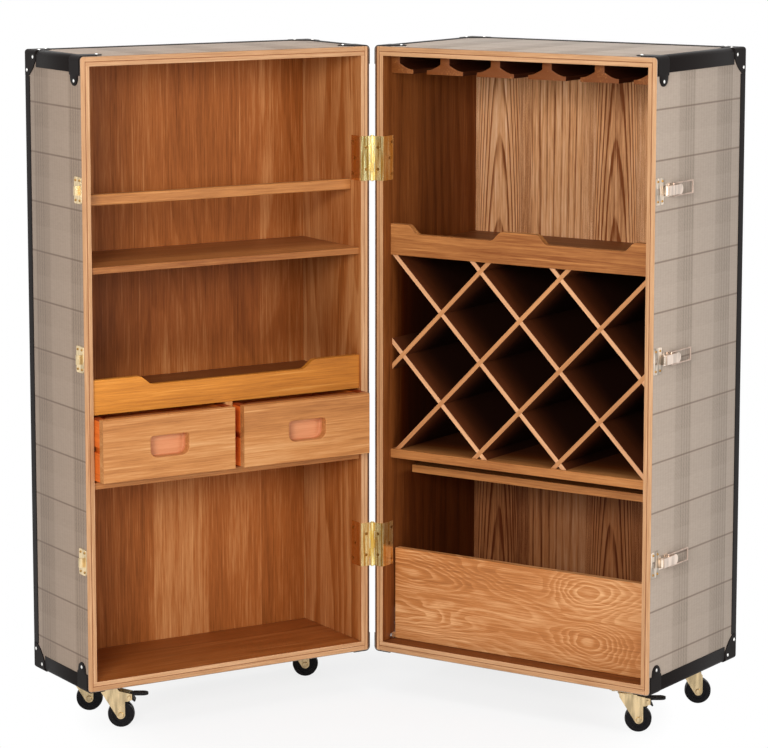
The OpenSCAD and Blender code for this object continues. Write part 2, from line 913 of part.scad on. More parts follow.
module latch_lever() {
    top = latch_h - lever_sheet;
    difference() {
        union() {
            for (side = [0, 1]) mirror([0, 0, side])
                along_z(lever_half - lever_sheet, lever_half) {
                    translate([lever_pivot_h, lever_pivot_d]) circle(ear_r);
                    polygon([
                        [2, lever_pivot_d], [top + 0.5, lever_pivot_d],
                        [top + 0.5, lever_end_d], [5, lever_end_d], [2, lever_end_d - 12]
                    ]);
                }
            along_s(top, latch_h) {
                translate([lever_pivot_d, -lever_half])
                    square([lever_end_d - lever_pivot_d, 2 * lever_half]);
                translate([lever_end_d, 0]) circle(lever_end_r);
            }
        }
        lever_pin_cut();
        translate([bail_pivot_h, bail_pivot_d, -through / 2])
            cylinder(r = bail_r + run_fit, h = through);
    }
}

module latch_bail() {
    far_d = bail_pivot_d + bail_len;
    for (side = [0, 1]) mirror([0, 0, side]) {
        translate([bail_pivot_h, bail_pivot_d, bail_half]) rotate([-90, 0, 0])
            cylinder(r = bail_r, h = bail_len);
        translate([bail_pivot_h, bail_pivot_d, 6.4]) cylinder(r = bail_r, h = bail_half - 6.4);
        translate([bail_pivot_h, bail_pivot_d, bail_half]) sphere(bail_r);
        translate([bail_pivot_h, far_d, bail_half]) sphere(bail_r);
    }
    translate([bail_pivot_h, far_d, -bail_half]) cylinder(r = bail_r, h = 2 * bail_half);
}

module latch_catch() {
    difference() {
        union() {
            along_s(0, plate_t)
                round_rect_2d(plate_start, plate_d, -plate_half, plate_half, plate_corner);
            along_z(-8.5, 8.5) difference() {
                union() {
                    translate([bail_pivot_h, hook_d]) circle(hook_outer_r);
                    translate([plate_t - 0.5, hook_d - hook_outer_r])
                        square([bail_pivot_h - plate_t + 0.5, hook_outer_r]);
                }
                translate([bail_pivot_h, hook_d]) circle(hook_inner_r);
                translate([plate_t, hook_d]) square([bail_pivot_h + 1.2 - plate_t, 10]);
                translate([plate_t, hook_d - hook_inner_r])
                    square([bail_pivot_h - plate_t, hook_inner_r + 0.01]);
            }
        }
        plate_screw_cuts();
    }
}

// Casters: the swivel axis is z, the wheel trails towards +x
race_z = 6.5;
fork_top = 7;
fork_sheet = 2.5;
cheek_in = 11.5;
cheek_t = 2;

deep_casters = [[swivel_s, deep_front_d], [swivel_s, deep_rear_d], [swivel_hinge_s, deep_rear_d]];
shallow_casters = [
    [swivel_s, shallow_front_d], [swivel_s, shallow_rear_d], [swivel_hinge_s, shallow_rear_d]
];

module caster_plate(p) {
    translate([p[0], p[1], 0]) {
        difference() {
            along_z(-plate_z, 0) round_rect_2d(-24, 24, -24, 24, 4);
            for (x = [-caster_screw, caster_screw])
                for (y = [-caster_screw, caster_screw])
                    translate([x, y, -5]) cylinder(r = plate_hole_r, h = 10);
        }
        translate([0, 0, -race_z]) cylinder(r1 = 11.5, r2 = 13.5, h = race_z - plate_z + 0.1);
        translate([0, 0, -11]) cylinder(r = 4, h = 5);
        translate([0, 0, -12.5]) cylinder(r = 6.5, h = 2.5);
    }
}

module cheek_2d(braked) {
    difference() {
        union() {
            polygon([
                [-14, -fork_top], [15, -fork_top], [30, -26],
                [caster_trail + 8, axle_z], [caster_trail - 7.4, axle_z - 3], [-14, -14]
            ]);
            if (braked)
                polygon([[10, -fork_top - 3], [30, -15], [brake_pivot_x + 5, -18],
                    [brake_pivot_x + 5, -29], [brake_pivot_x - 4, -32], [26, -32]]);
            translate([caster_trail, axle_z]) circle(8);
        }
        translate([caster_trail, axle_z]) circle(3 + run_fit);
        if (braked) translate([brake_pivot_x, brake_pivot_z]) circle(2 + run_fit);
    }
}

module fork(braked) {
    difference() {
        union() {
            along_z(-fork_top - fork_sheet, -fork_top) circle(16);
            for (side = [0, 1]) mirror([0, side, 0])
                along_d(cheek_in, cheek_in + cheek_t) cheek_2d(braked);
        }
        translate([0, 0, -20]) cylinder(r = 4 + run_fit, h = 20);
    }
    translate([caster_trail, 0, axle_z]) rotate([90, 0, 0]) {
        cylinder(r = 3, h = 2 * (cheek_in + cheek_t) + 1, center = true);
        for (side = [0, 1]) mirror([0, 0, side])
            translate([0, 0, cheek_in + cheek_t + 0.1]) cylinder(r1 = 5.5, r2 = 4.5, h = 2.2);
    }
    if (braked)
        translate([brake_pivot_x, 0, brake_pivot_z]) rotate([90, 0, 0]) {
            cylinder(r = 2, h = 2 * (cheek_in + cheek_t) + 1, center = true);
            for (side = [0, 1]) mirror([0, 0, side])
                translate([0, 0, cheek_in + cheek_t + 0.1]) cylinder(r1 = 3.6, r2 = 2.8, h = 1.4);
        }
}

module wheel() {
    translate([caster_trail, 0, axle_z]) rotate([90, 0, 0]) rotate_extrude()
        difference() {
            union() {
                translate([3 + run_fit, -11]) square([5, 22]);
                translate([3 + run_fit, -7]) square([15, 14]);
                translate([16, -9]) square([wheel_r - 17, 18]);
                intersection() {
                    translate([wheel_r - 14, 0]) circle(14);
                    translate([16, -9.5]) square([wheel_r, 19]);
                }
            }
        }
}

module brake_pedal() {
    reach = 34;
    pad = norm([brake_pivot_x - caster_trail, brake_pivot_z - axle_z]) - wheel_r - 0.5;
    aim = atan2(axle_z - brake_pivot_z, caster_trail - brake_pivot_x);
    translate([brake_pivot_x, 0, brake_pivot_z]) {
        along_d(-10.5, 10.5) difference() {
            union() {
                circle(5);
                rotate([0, 0, aim]) polygon([
                    [0, -4.5], [pad - 1.5, -4], [pad - 0.3, 0], [pad - 1.5, 4], [0, 4.5]
                ]);
                polygon([[-2, 0], [-1, 5], [8, 7], [8, 2.5]]);
                polygon([[3, -4], [9, -9], [11, -7.5], [6, 1]]);
            }
            circle(2 + run_fit);
        }
        along_z(3, 7) {
            translate([7, -10.5]) square([reach - 16, 21]);
            translate([reach - 10, 0]) circle(10.5);
        }
    }
}

module caster_at(p, trail) {
    translate([p[0], p[1], 0]) rotate([0, 0, trail]) children();
}

// Nodes of the deep half
module deep_shell() {
    color(oak) in_deep() difference() {
        shell(deep_d);
        at_hinge_screws(true) screw_bore(front_screw_len);
    }
}

module deep_lining() {
    color(oak_dark) in_deep() difference() {
        lining(deep_d);
        at_hinge_screws(false) screw_bore(inner_screw_len);
        at_flap_ends() flap_pin_hole();
    }
}

module deep_covering() {
    color(cloth) in_deep() covering(deep_d);
}

module deep_edging() {
    color(black) in_deep() edging(deep_d);
}

module deep_rivets() {
    color(steel) in_deep() rivets(deep_d);
}

module stemware_rails() {
    color(oak) in_deep() stem_rails();
}

module stem_shelf() {
    color(oak) in_deep()
        plain_shelf(high_gallery_d + high_gallery_t, deep_in_d, stem_shelf_z, stem_shelf_z + 15.5);
}

module stem_shelf_gallery() {
    color(oak) in_deep() high_gallery();
}

module rack_slats_rising() {
    color(oak) in_deep() slats(1);
}

module rack_slats_falling() {
    color(oak) in_deep() slats(-1);
}

module rack_floor() {
    color(oak) in_deep()
        plain_shelf(high_gallery_d, deep_in_d, rack_floor_z, rack_bottom);
}

module tray_shelf() {
    color(oak) in_deep()
        plain_shelf(tray_shelf_d, deep_in_d, tray_shelf_z, tray_shelf_z + 15);
}

module drop_flap() {
    color(oak) in_deep() flap_panel();
}

module flap_brackets() {
    color(steel) in_deep() flap_end_plates();
}

module flap_pivots() {
    color(steel) in_deep() at_flap_ends() flap_pin();
}

module latch_bases() {
    color(pale_gold) in_deep() for (zc = latch_z) on_side(zc) latch_base();
}

module latch_lever_low() {
    color(pale_gold) in_deep() on_side(latch_z[0]) latch_lever();
}

module latch_lever_mid() {
    color(pale_gold) in_deep() on_side(latch_z[1]) latch_lever();
}

module latch_lever_high() {
    color(pale_gold) in_deep() on_side(latch_z[2]) latch_lever();
}

module latch_bail_low() {
    color(pale_gold) in_deep() on_side(latch_z[0]) latch_bail();
}

module latch_bail_mid() {
    color(pale_gold) in_deep() on_side(latch_z[1]) latch_bail();
}

module latch_bail_high() {
    color(pale_gold) in_deep() on_side(latch_z[2]) latch_bail();
}

module deep_hinge_leaves() {
    color(brass) in_deep() hinge_leaves([0, 2, 4]);
}

module hinge_pins() {
    color(brass) in_deep() hinge_rods();
}

module deep_screws() {
    color(brass) in_deep() all_screws(deep_casters);
}

module deep_caster_plates() {
    color(pale_gold) in_deep() for (p = deep_casters) caster_plate(p);
}

module fork_deep_front() {
    color(pale_gold) in_deep() caster_at(deep_casters[0], deep_trail) fork(true);
}

module fork_deep_rear() {
    color(pale_gold) in_deep() caster_at(deep_casters[1], deep_trail) fork(false);
}

module fork_deep_hinge_side() {
    color(pale_gold) in_deep() caster_at(deep_casters[2], deep_trail) fork(false);
}

module wheel_deep_front() {
    color(black) in_deep() caster_at(deep_casters[0], deep_trail) wheel();
}

module wheel_deep_rear() {
    color(black) in_deep() caster_at(deep_casters[1], deep_trail) wheel();
}

module wheel_deep_hinge_side() {
    color(black) in_deep() caster_at(deep_casters[2], deep_trail) wheel();
}

module brake_pedal_deep() {
    color(black) in_deep() caster_at(deep_casters[0], deep_trail) brake_pedal();
}

// Nodes of the shallow half
module shallow_shell() {
    color(oak) in_shallow() difference() {
        shell(shallow_d);
        at_hinge_screws(true) screw_bore(front_screw_len);
    }
}

module shallow_lining() {
    color(oak_dark) in_shallow() difference() {
        lining(shallow_d);
        at_hinge_screws(false) screw_bore(inner_screw_len);
    }
}

module shallow_covering() {
    color(cloth) in_shallow() covering(shallow_d);
}

module shallow_edging() {
    color(black) in_shallow() edging(shallow_d);
}

module shallow_rivets() {
    color(steel) in_shallow() rivets(shallow_d);
}

module bottle_rail() {
    color(oak) in_shallow() bottle_bar();
}

module upper_shelf() {
    color(oak) in_shallow()
        plain_shelf(shelf_set_back, shallow_in_d, upper_shelf_top - shelf_t, upper_shelf_top);
}

module drawer_gallery() {
    color(oak) in_shallow() low_gallery();
}

module drawer_top_shelf() {
    color(oak) in_shallow() along_s(wall, case_w - wall)
        translate([shelf_set_back + gallery_t, low_shelf_top - low_shelf_t])
            square([shallow_in_d - shelf_set_back - gallery_t, low_shelf_t]);
}

module drawer_divider() {
    color(oak) in_shallow() divider();
}

module drawer_board() {
    color(oak) in_shallow()
        plain_shelf(shelf_set_back, shallow_in_d, drawer_board_top - 13, drawer_board_top);
}

module drawer_runners() {
    color(oak) in_shallow() runners();
}

module outer_drawer_front() {
    color(oak) in_shallow() drawer_face(outer_drawer_s);
}

module outer_drawer_box() {
    color(orange_wood) in_shallow() drawer_tub(outer_drawer_s);
}

module inner_drawer_front() {
    color(oak) in_shallow() drawer_face(inner_drawer_s);
}

module inner_drawer_box() {
    color(orange_wood) in_shallow() drawer_tub(inner_drawer_s);
}

module latch_catches() {
    color(pale_gold) in_shallow() for (zc = latch_z) on_side(zc) latch_catch();
}

module shallow_hinge_leaves() {
    color(brass) in_shallow() hinge_leaves([1, 3]);
}

module shallow_screws() {
    color(brass) in_shallow() all_screws(shallow_casters);
}

module shallow_caster_plates() {
    color(pale_gold) in_shallow() for (p = shallow_casters) caster_plate(p);
}

module fork_shallow_front() {
    color(pale_gold) in_shallow() caster_at(shallow_casters[0], shallow_trail) fork(true);
}

module fork_shallow_rear() {
    color(pale_gold) in_shallow() caster_at(shallow_casters[1], shallow_trail) fork(false);
}

module fork_shallow_hinge_side() {
    color(pale_gold) in_shallow() caster_at(shallow_casters[2], shallow_trail) fork(false);
}

module wheel_shallow_front() {
    color(black) in_shallow() caster_at(shallow_casters[0], shallow_trail) wheel();
}

module wheel_shallow_rear() {
    color(black) in_shallow() caster_at(shallow_casters[1], shallow_trail) wheel();
}

module wheel_shallow_hinge_side() {
    color(black) in_shallow() caster_at(shallow_casters[2], shallow_trail) wheel();
}

module brake_pedal_shallow() {
    color(black) in_shallow() caster_at(shallow_casters[0], shallow_trail) brake_pedal();
}

deep_shell();
deep_lining();
deep_covering();
deep_edging();
deep_rivets();
stemware_rails();
stem_shelf();
stem_shelf_gallery();
rack_slats_rising();
rack_slats_falling();
rack_floor();
tray_shelf();
drop_flap();
flap_brackets();
flap_pivots();
latch_bases();
latch_lever_low();
latch_lever_mid();
latch_lever_high();
latch_bail_low();
latch_bail_mid();
latch_bail_high();
deep_hinge_leaves();
hinge_pins();
deep_screws();
deep_caster_plates();
fork_deep_front();
fork_deep_rear();
fork_deep_hinge_side();
wheel_deep_front();
wheel_deep_rear();
wheel_deep_hinge_side();
brake_pedal_deep();
shallow_shell();
shallow_lining();
shallow_covering();
shallow_edging();
shallow_rivets();
bottle_rail();
upper_shelf();
drawer_gallery();
drawer_top_shelf();
drawer_divider();
drawer_board();
drawer_runners();
outer_drawer_front();
outer_drawer_box();
inner_drawer_front();
inner_drawer_box();
latch_catches();
shallow_hinge_leaves();
shallow_screws();
shallow_caster_plates();
fork_shallow_front();
fork_shallow_rear();
fork_shallow_hinge_side();
wheel_shallow_front();
wheel_shallow_rear();
wheel_shallow_hinge_side();
brake_pedal_shallow();
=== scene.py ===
# %% [markdown]
# # A suitcase bar cabinet
# Two half cases on casters, hinged together and standing open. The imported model
# gives the shape and the place of every part, in metres, with the floor at z = 0.
# This lesson dresses it: boards with grain, checked cloth, black edging and metal.

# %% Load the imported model
import json
import math

import bmesh
import bpy
import numpy as np
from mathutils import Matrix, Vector


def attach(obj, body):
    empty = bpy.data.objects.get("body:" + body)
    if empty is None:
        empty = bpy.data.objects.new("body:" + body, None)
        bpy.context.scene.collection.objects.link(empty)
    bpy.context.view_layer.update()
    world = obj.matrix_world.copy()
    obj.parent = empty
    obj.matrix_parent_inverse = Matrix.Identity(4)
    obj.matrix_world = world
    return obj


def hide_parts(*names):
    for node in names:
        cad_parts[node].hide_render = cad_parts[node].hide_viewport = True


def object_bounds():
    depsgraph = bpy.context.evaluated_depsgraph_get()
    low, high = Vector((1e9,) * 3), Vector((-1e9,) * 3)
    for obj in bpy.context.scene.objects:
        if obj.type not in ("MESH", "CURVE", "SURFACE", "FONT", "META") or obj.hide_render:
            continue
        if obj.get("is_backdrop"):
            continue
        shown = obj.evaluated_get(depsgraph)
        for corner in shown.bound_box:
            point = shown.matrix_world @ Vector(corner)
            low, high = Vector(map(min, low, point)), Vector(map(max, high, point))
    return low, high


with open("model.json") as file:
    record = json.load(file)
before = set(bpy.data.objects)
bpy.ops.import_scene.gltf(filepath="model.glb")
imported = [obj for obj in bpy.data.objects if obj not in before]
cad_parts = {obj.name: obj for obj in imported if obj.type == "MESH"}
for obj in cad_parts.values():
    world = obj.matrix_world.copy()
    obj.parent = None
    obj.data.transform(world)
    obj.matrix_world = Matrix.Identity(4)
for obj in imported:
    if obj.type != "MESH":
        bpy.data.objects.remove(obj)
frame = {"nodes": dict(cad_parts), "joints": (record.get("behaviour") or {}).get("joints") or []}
cad_low, cad_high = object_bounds()
print("nodes:", len(frame["nodes"]), "size:", [round(h - l, 3) for l, h in zip(cad_low, cad_high)])

# %% [markdown]
# ## Where a point of a case lies
# Each half is described in its own millimetres: s runs along its front from the
# hinge side, d runs back from the front edges, z runs up from its underside.
# One function turns such points into the scene's metres. The shallow half is the
# mirror image of the deep one, swung open about the hinge line.

# %% Case coordinates
MM = 0.001
CASE_W, CASE_H, CASTER_H = 600.0, 1160.0, 82.0
DEPTH = {"deep": 340.0, "shallow": 228.0}
SIDE_GAP, FRONT_GAP = 5.0, 2.0
COVER, SHELL, LINING, PANEL, BACK = 0.8, 9.0, 8.2, 4.0, 10.0
SEAM = COVER + SHELL
WALL = SEAM + LINING
INSIDE = (WALL, CASE_W - WALL)
DEEP_IN, SHALLOW_IN = (depth - BACK for depth in DEPTH.values())
SWING = math.radians(180 - 114.72)
COS, SIN = math.cos(SWING), math.sin(SWING)
HINGE = np.array([j for j in frame["joints"] if j["name"] == "case_hinge"][0]["pos_m"][:2])


def columns(*parts):
    """Points from their coordinates, which are arrays or plain numbers."""
    return np.stack(np.broadcast_arrays(*parts), -1)


def place(points, half):
    """Case millimetres (s, d, z) to scene metres. x and y are measured from the
    hinge line; for the shallow half x is mirrored, then both are turned by SWING."""
    s, d, z = np.moveaxis(np.asarray(points, float), -1, 0)
    x, y = SIDE_GAP + s, FRONT_GAP + d
    if half == "shallow":
        x, y = -x * COS - y * SIN, -x * SIN + y * COS
    return columns(x * MM + HINGE[0], y * MM + HINGE[1], (z + CASTER_H) * MM)


print("hinge line at", HINGE.round(4))

# %% [markdown]
# ## Outlines and rings
# Almost every board is an outline carried through its thickness. A section says,
# ring by ring, how far the outline is drawn in and how high it is lifted, so one
# function gives square blocks, eased edges, lips and hollows alike.

# %% Outlines


def rect(x0, x1, y0, y1, r=0.6):
    """Rectangle, anticlockwise. Each corner is a quarter circle: centre + r (cos a, sin a),
    with more steps from 2 mm up. r is one radius, or four: upper right, upper left,
    lower left, lower right."""
    corners = [(x1, y1, -1, -1), (x0, y1, 1, -1), (x0, y0, 1, 1), (x1, y0, -1, 1)]
    parts = []
    for k, ((x, y, u, v), radius) in enumerate(zip(corners, np.broadcast_to(r, 4))):
        a = np.linspace(0, np.pi / 2, 3 if radius < 2 else 9) + k * np.pi / 2
        parts.append(columns(x + u * radius + radius * np.cos(a), y + v * radius + radius * np.sin(a)))
    return np.concatenate(parts)


def carry(outline, section):
    """Rings of (x, y, level). The outline moves in along its corner bisectors m by
    inset: p - inset m, where m = (n1 + n2) / (1 + n1.n2) from the two edge normals."""
    step = np.roll(outline, -1, 0) - outline
    normal = columns(step[:, 1], -step[:, 0])
    normal /= np.linalg.norm(normal, axis=1, keepdims=True)
    before = np.roll(normal, 1, 0)
    mitre = (normal + before) / (1 + (normal * before).sum(1, keepdims=True))
    inset, level = np.asarray(section, float).T[:, :, None]
    flat = outline - inset[..., None] * mitre
    return columns(flat[..., 0], flat[..., 1], level)


def board(outline, t0, t1, ease=0.6):
    """A board of that outline from level t0 to t1 with eased edges: at angle a the ring
    is drawn in by ease (1 - sin a) and stands ease (1 - cos a) inside the face."""
    a = np.linspace(0, np.pi / 2, 3)
    inset, rise = ease * (1 - np.sin(a)), ease * (1 - np.cos(a))
    return carry(outline, np.concatenate([columns(inset, t0 + rise), columns(inset, t1 - rise)[::-1]]))


def smooth_step(t):
    """0 to 1 with level ends: (1 - cos(pi t)) / 2."""
    return 0.5 - 0.5 * np.cos(np.pi * np.clip(t, 0, 1))


print("a square carried up:", board(rect(0, 10, 0, 10), 0, 5).shape)

# %% [markdown]
# ## Gathering solids into one piece
# A case lining is five boards, and a drawer box is five more. They share one
# object, but each keeps its own grain. So every point also stores where it sits in
# its own plank: metres along the grain, across it and through it, moved by a
# random amount per board so that no two boards show the same figure.

# %% The Piece class
AXES = {"s": 0, "d": 1, "z": 2}
MIRRORING = ("szd", "dsz", "zds")
PLAIN = (0.3, 0.0, 0.0)
chance = np.random.default_rng(7)


def grid_faces(rows, cols, wrap_cols=True, wrap_rows=False):
    """Quads between neighbouring rings of a rows x cols grid."""
    i = np.arange(rows if wrap_rows else rows - 1)[:, None]
    j = np.arange(cols if wrap_cols else cols - 1)
    right, up = (j + 1) % cols, (i + 1) % rows
    return columns(i * cols + j, i * cols + right, up * cols + right, up * cols + j).reshape(-1, 4)


class Piece:
    """Solids of one half case, in case millimetres, until they become a mesh."""

    def __init__(self, half):
        self.half, self.points, self.faces, self.grain, self.look = half, [], [], [], []
        self.count, self.coat, self.coats = 0, 0, []

    def add(self, rings, axes="szd", grain="z", look=PLAIN, torus=False, at=(0, 0, 0)):
        """Adds one closed solid, moved by at. axes names what the rings' x, y and level are
        in the case; a MIRRORING order mirrors the solid, so its faces are turned round."""
        rows, cols = rings.shape[:2]
        points = rings.reshape(-1, 3)[:, [axes.index(a) for a in "sdz"]] + at
        faces = grid_faces(rows, cols, True, torus).tolist()
        if not torus:
            faces += [range(cols)[::-1], range((rows - 1) * cols, rows * cols)]
        self.put(points, faces, axes in MIRRORING, grain, look)

    def put(self, points, faces, turned=False, grain="z", look=PLAIN):
        """Adds points and faces as they are."""
        size = np.ptp(points, axis=0)
        rest = sorted((a for a in "sdz" if a != grain), key=lambda a: -size[AXES[a]])
        order = [AXES[a] for a in (grain, *rest)]
        self.points.append(points)
        self.grain.append(points[:, order] * MM + chance.uniform(-9, 9, 3))
        self.look.append(np.broadcast_to(look, points.shape))
        self.faces += [[i + self.count for i in (f[::-1] if turned else f)] for f in faces]
        self.coats += [self.coat] * len(faces)
        self.count += len(points)

    def make(self, name, materials, slot, nodes=(), body=None, smooth=None, weld=0.0):
        """Turns the gathered solids into an object that rides on a body, by default the
        half's case. Edges sharper than the angle smooth stay sharp, and weld joins
        doubled points."""
        mesh = bpy.data.meshes.new(name)
        points = np.concatenate(self.points)
        faces = [f[::-1] for f in self.faces] if self.half == "shallow" else self.faces
        mesh.from_pydata(place(points, self.half), [], faces)
        grain, look = np.concatenate(self.grain), np.concatenate(self.look)
        layers = {"grain": grain, "look": look, "case": points * MM}
        for label, rows in layers.items():
            layer = mesh.attributes.new(label, "FLOAT_VECTOR", "POINT")
            layer.data.foreach_set("vector", rows.astype(np.float32).ravel())
        mesh.polygons.foreach_set("material_index", self.coats)
        if weld:
            work = bmesh.new()
            work.from_mesh(mesh)
            bmesh.ops.remove_doubles(work, verts=work.verts, dist=weld)
            work.to_mesh(mesh)
            work.free()
        mesh.validate()
        if smooth is not None:
            mesh.shade_smooth()
            mesh.set_sharp_from_angle(angle=math.radians(smooth))
        obj = bpy.data.objects.new(name, mesh)
        bpy.context.scene.collection.objects.link(obj)
        for one in materials if isinstance(materials, list) else [materials]:
            mesh.materials.append(one)
        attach(obj, body or f"{self.half}_case")
        if nodes:
            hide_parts(*nodes)
        print(f"{name}: {len(mesh.vertices)} points, {len(mesh.polygons)} faces")
        return obj


# %% [markdown]
# ## Shader maths as Python
# A node tree is easier to read as a formula. A wrapped socket adds Math nodes when
# it is used in an expression, and every other kind of node is made by one method:
# the node's type, its settings, and the values or links of its sockets.

# %% The Val, Nodes and Finish classes
WHITE = (1.0, 1.0, 1.0, 1.0)


def paint(r, g, b):
    """A colour written as 0 to 255 screen values, as the linear values a shader uses."""
    c = np.array([r, g, b]) / 255
    return (*np.where(c <= 0.04045, c / 12.92, ((c + 0.055) / 1.055) ** 2.4).tolist(), 1.0)


def operator(kind):
    """An operator's plain and reflected form, each of which adds one Math node."""
    return (lambda self, other: self.math(kind, self, other),
            lambda self, other: self.math(kind, other, self))


class Val:
    """One output socket. Arithmetic on it adds a Math node."""
    __add__, __radd__ = operator("ADD")
    __sub__, __rsub__ = operator("SUBTRACT")
    __mul__, __rmul__ = operator("MULTIPLY")
    __truediv__, __rtruediv__ = operator("DIVIDE")
    __pow__, __rpow__ = operator("POWER")

    def __init__(self, nodes, socket):
        self.nodes, self.socket = nodes, socket

    def math(self, operation, *values, clamp=False):
        return self.nodes.node("ShaderNodeMath", {"operation": operation, "use_clamp": clamp}, values)

    def clamped(self):
        return self.math("ADD", self, 0.0, clamp=True)

    def size(self):
        return self.math("ABSOLUTE", self)

    def wave(self):
        """0 to 1 and back once per whole step: (1 + sin(2 pi x)) / 2."""
        return self.math("SINE", self * (2 * math.pi)) * 0.5 + 0.5

    def part(self):
        """What is left of the value above the next lower whole number."""
        return self.math("FRACT", self)

    def whole(self):
        return self.math("FLOOR", self)

    def ramp(self, low, high, kind="SMOOTHSTEP"):
        """0 below low, 1 above high."""
        settings = {"interpolation_type": kind}
        return self.nodes.node("ShaderNodeMapRange", settings, {0: self, 1: low, 2: high})


class Nodes:
    """A node tree, and the one method that adds nodes to it."""

    def __init__(self, tree):
        self.tree = tree

    def node(self, kind, settings=None, inputs=(), out=0):
        made = self.tree.nodes.new(kind)
        for label, value in (settings or {}).items():
            setattr(made, label, value)
        for label, value in inputs.items() if isinstance(inputs, dict) else enumerate(inputs):
            self.feed(made.inputs[label], value)
        return Val(self, made.outputs[out])

    def feed(self, socket, value):
        if isinstance(value, Val):
            self.tree.links.new(value.socket, socket)
        else:
            socket.default_value = value

    def outputs(self, node):
        """All outputs of a node that was just made, by name."""
        return {socket.name: Val(self, socket) for socket in node.socket.node.outputs}

    def rays(self, *kinds):
        """For each kind of ray, 1 where such a ray looks and 0 elsewhere."""
        path = self.outputs(self.node("ShaderNodeLightPath"))
        return [path[f"Is {kind} Ray"] for kind in kinds]

    def fold(self, operation, values):
        """Math nodes in a row along a list, as for the smallest or largest of it."""
        result = values[0]
        for other in values[1:]:
            result = result.math(operation, result, other)
        return result


class Finish(Nodes):
    """A material: one Principled shader and the nodes that feed it."""

    def __init__(self, name, **constants):
        self.material = bpy.data.materials.new(name)
        self.material.use_nodes = True
        super().__init__(self.material.node_tree)
        self.shader = self.tree.nodes["Principled BSDF"]
        self.set(**constants)

    def set(self, **sockets):
        for label, value in sockets.items():
            self.feed(self.shader.inputs[label.replace("_", " ")], value)

    def attribute(self, name):
        return self.node("ShaderNodeAttribute", {"attribute_name": name}, out="Vector")

    def object_place(self):
        return self.node("ShaderNodeTexCoord", out="Object")

    def split(self, vector):
        return list(self.outputs(self.node("ShaderNodeSeparateXYZ", inputs=[vector])).values())

    def stretch(self, vector, factors):
        return self.node("ShaderNodeVectorMath", {"operation": "MULTIPLY"}, [vector, factors])

    def noise(self, vector, factors, detail=2.0, rough=0.5):
        """Smooth noise around 0.5, stretched by its factors in cells per metre."""
        return self.node("ShaderNodeTexNoise", {}, {
            "Vector": self.stretch(vector, factors), "Scale": 1.0, "Detail": detail, "Roughness": rough})

    def mix(self, a, b, amount):
        return self.node("ShaderNodeMix", {"data_type": "RGBA"}, {0: amount, 6: a, 7: b}, out=2)

    def mix_value(self, a, b, amount):
        return self.node("ShaderNodeMix", {"data_type": "FLOAT"}, {0: amount, 2: a, 3: b})

    def tint(self, colour, strength):
        """A colour made darker or brighter by a number."""
        return self.stretch(colour[:3], self.node("ShaderNodeCombineXYZ", inputs=[strength] * 3))

    def bump(self, height, distance, strength):
        self.set(Normal=self.node("ShaderNodeBump", {}, {
            "Height": height, "Distance": distance, "Strength": strength}))


print("oak as linear values:", [round(c, 3) for c in paint(200, 140, 90)[:3]])

# %% [markdown]
# ## Wood
# The boards are oak veneer with an orange oil finish. Its look has five parts at
# five scales: soft clouds of tone, pale and dark streaks, fine fibres, dark pores,
# and growth lines. The growth lines are the level lines of a slow noise that is
# stretched along the grain. The wide panels are laid up from veneer leaves about a
# hand wide, so each leaf lies in another place of the wood and has its own tone.

# %% Wood finish
# The tint and near black used both for real stain and for painted shade.
STAIN_AND_SHADE_TINT = (0.33, 0.18, 0.086)
STAIN_AND_SHADE_DARK = paint(38, 16, 7)


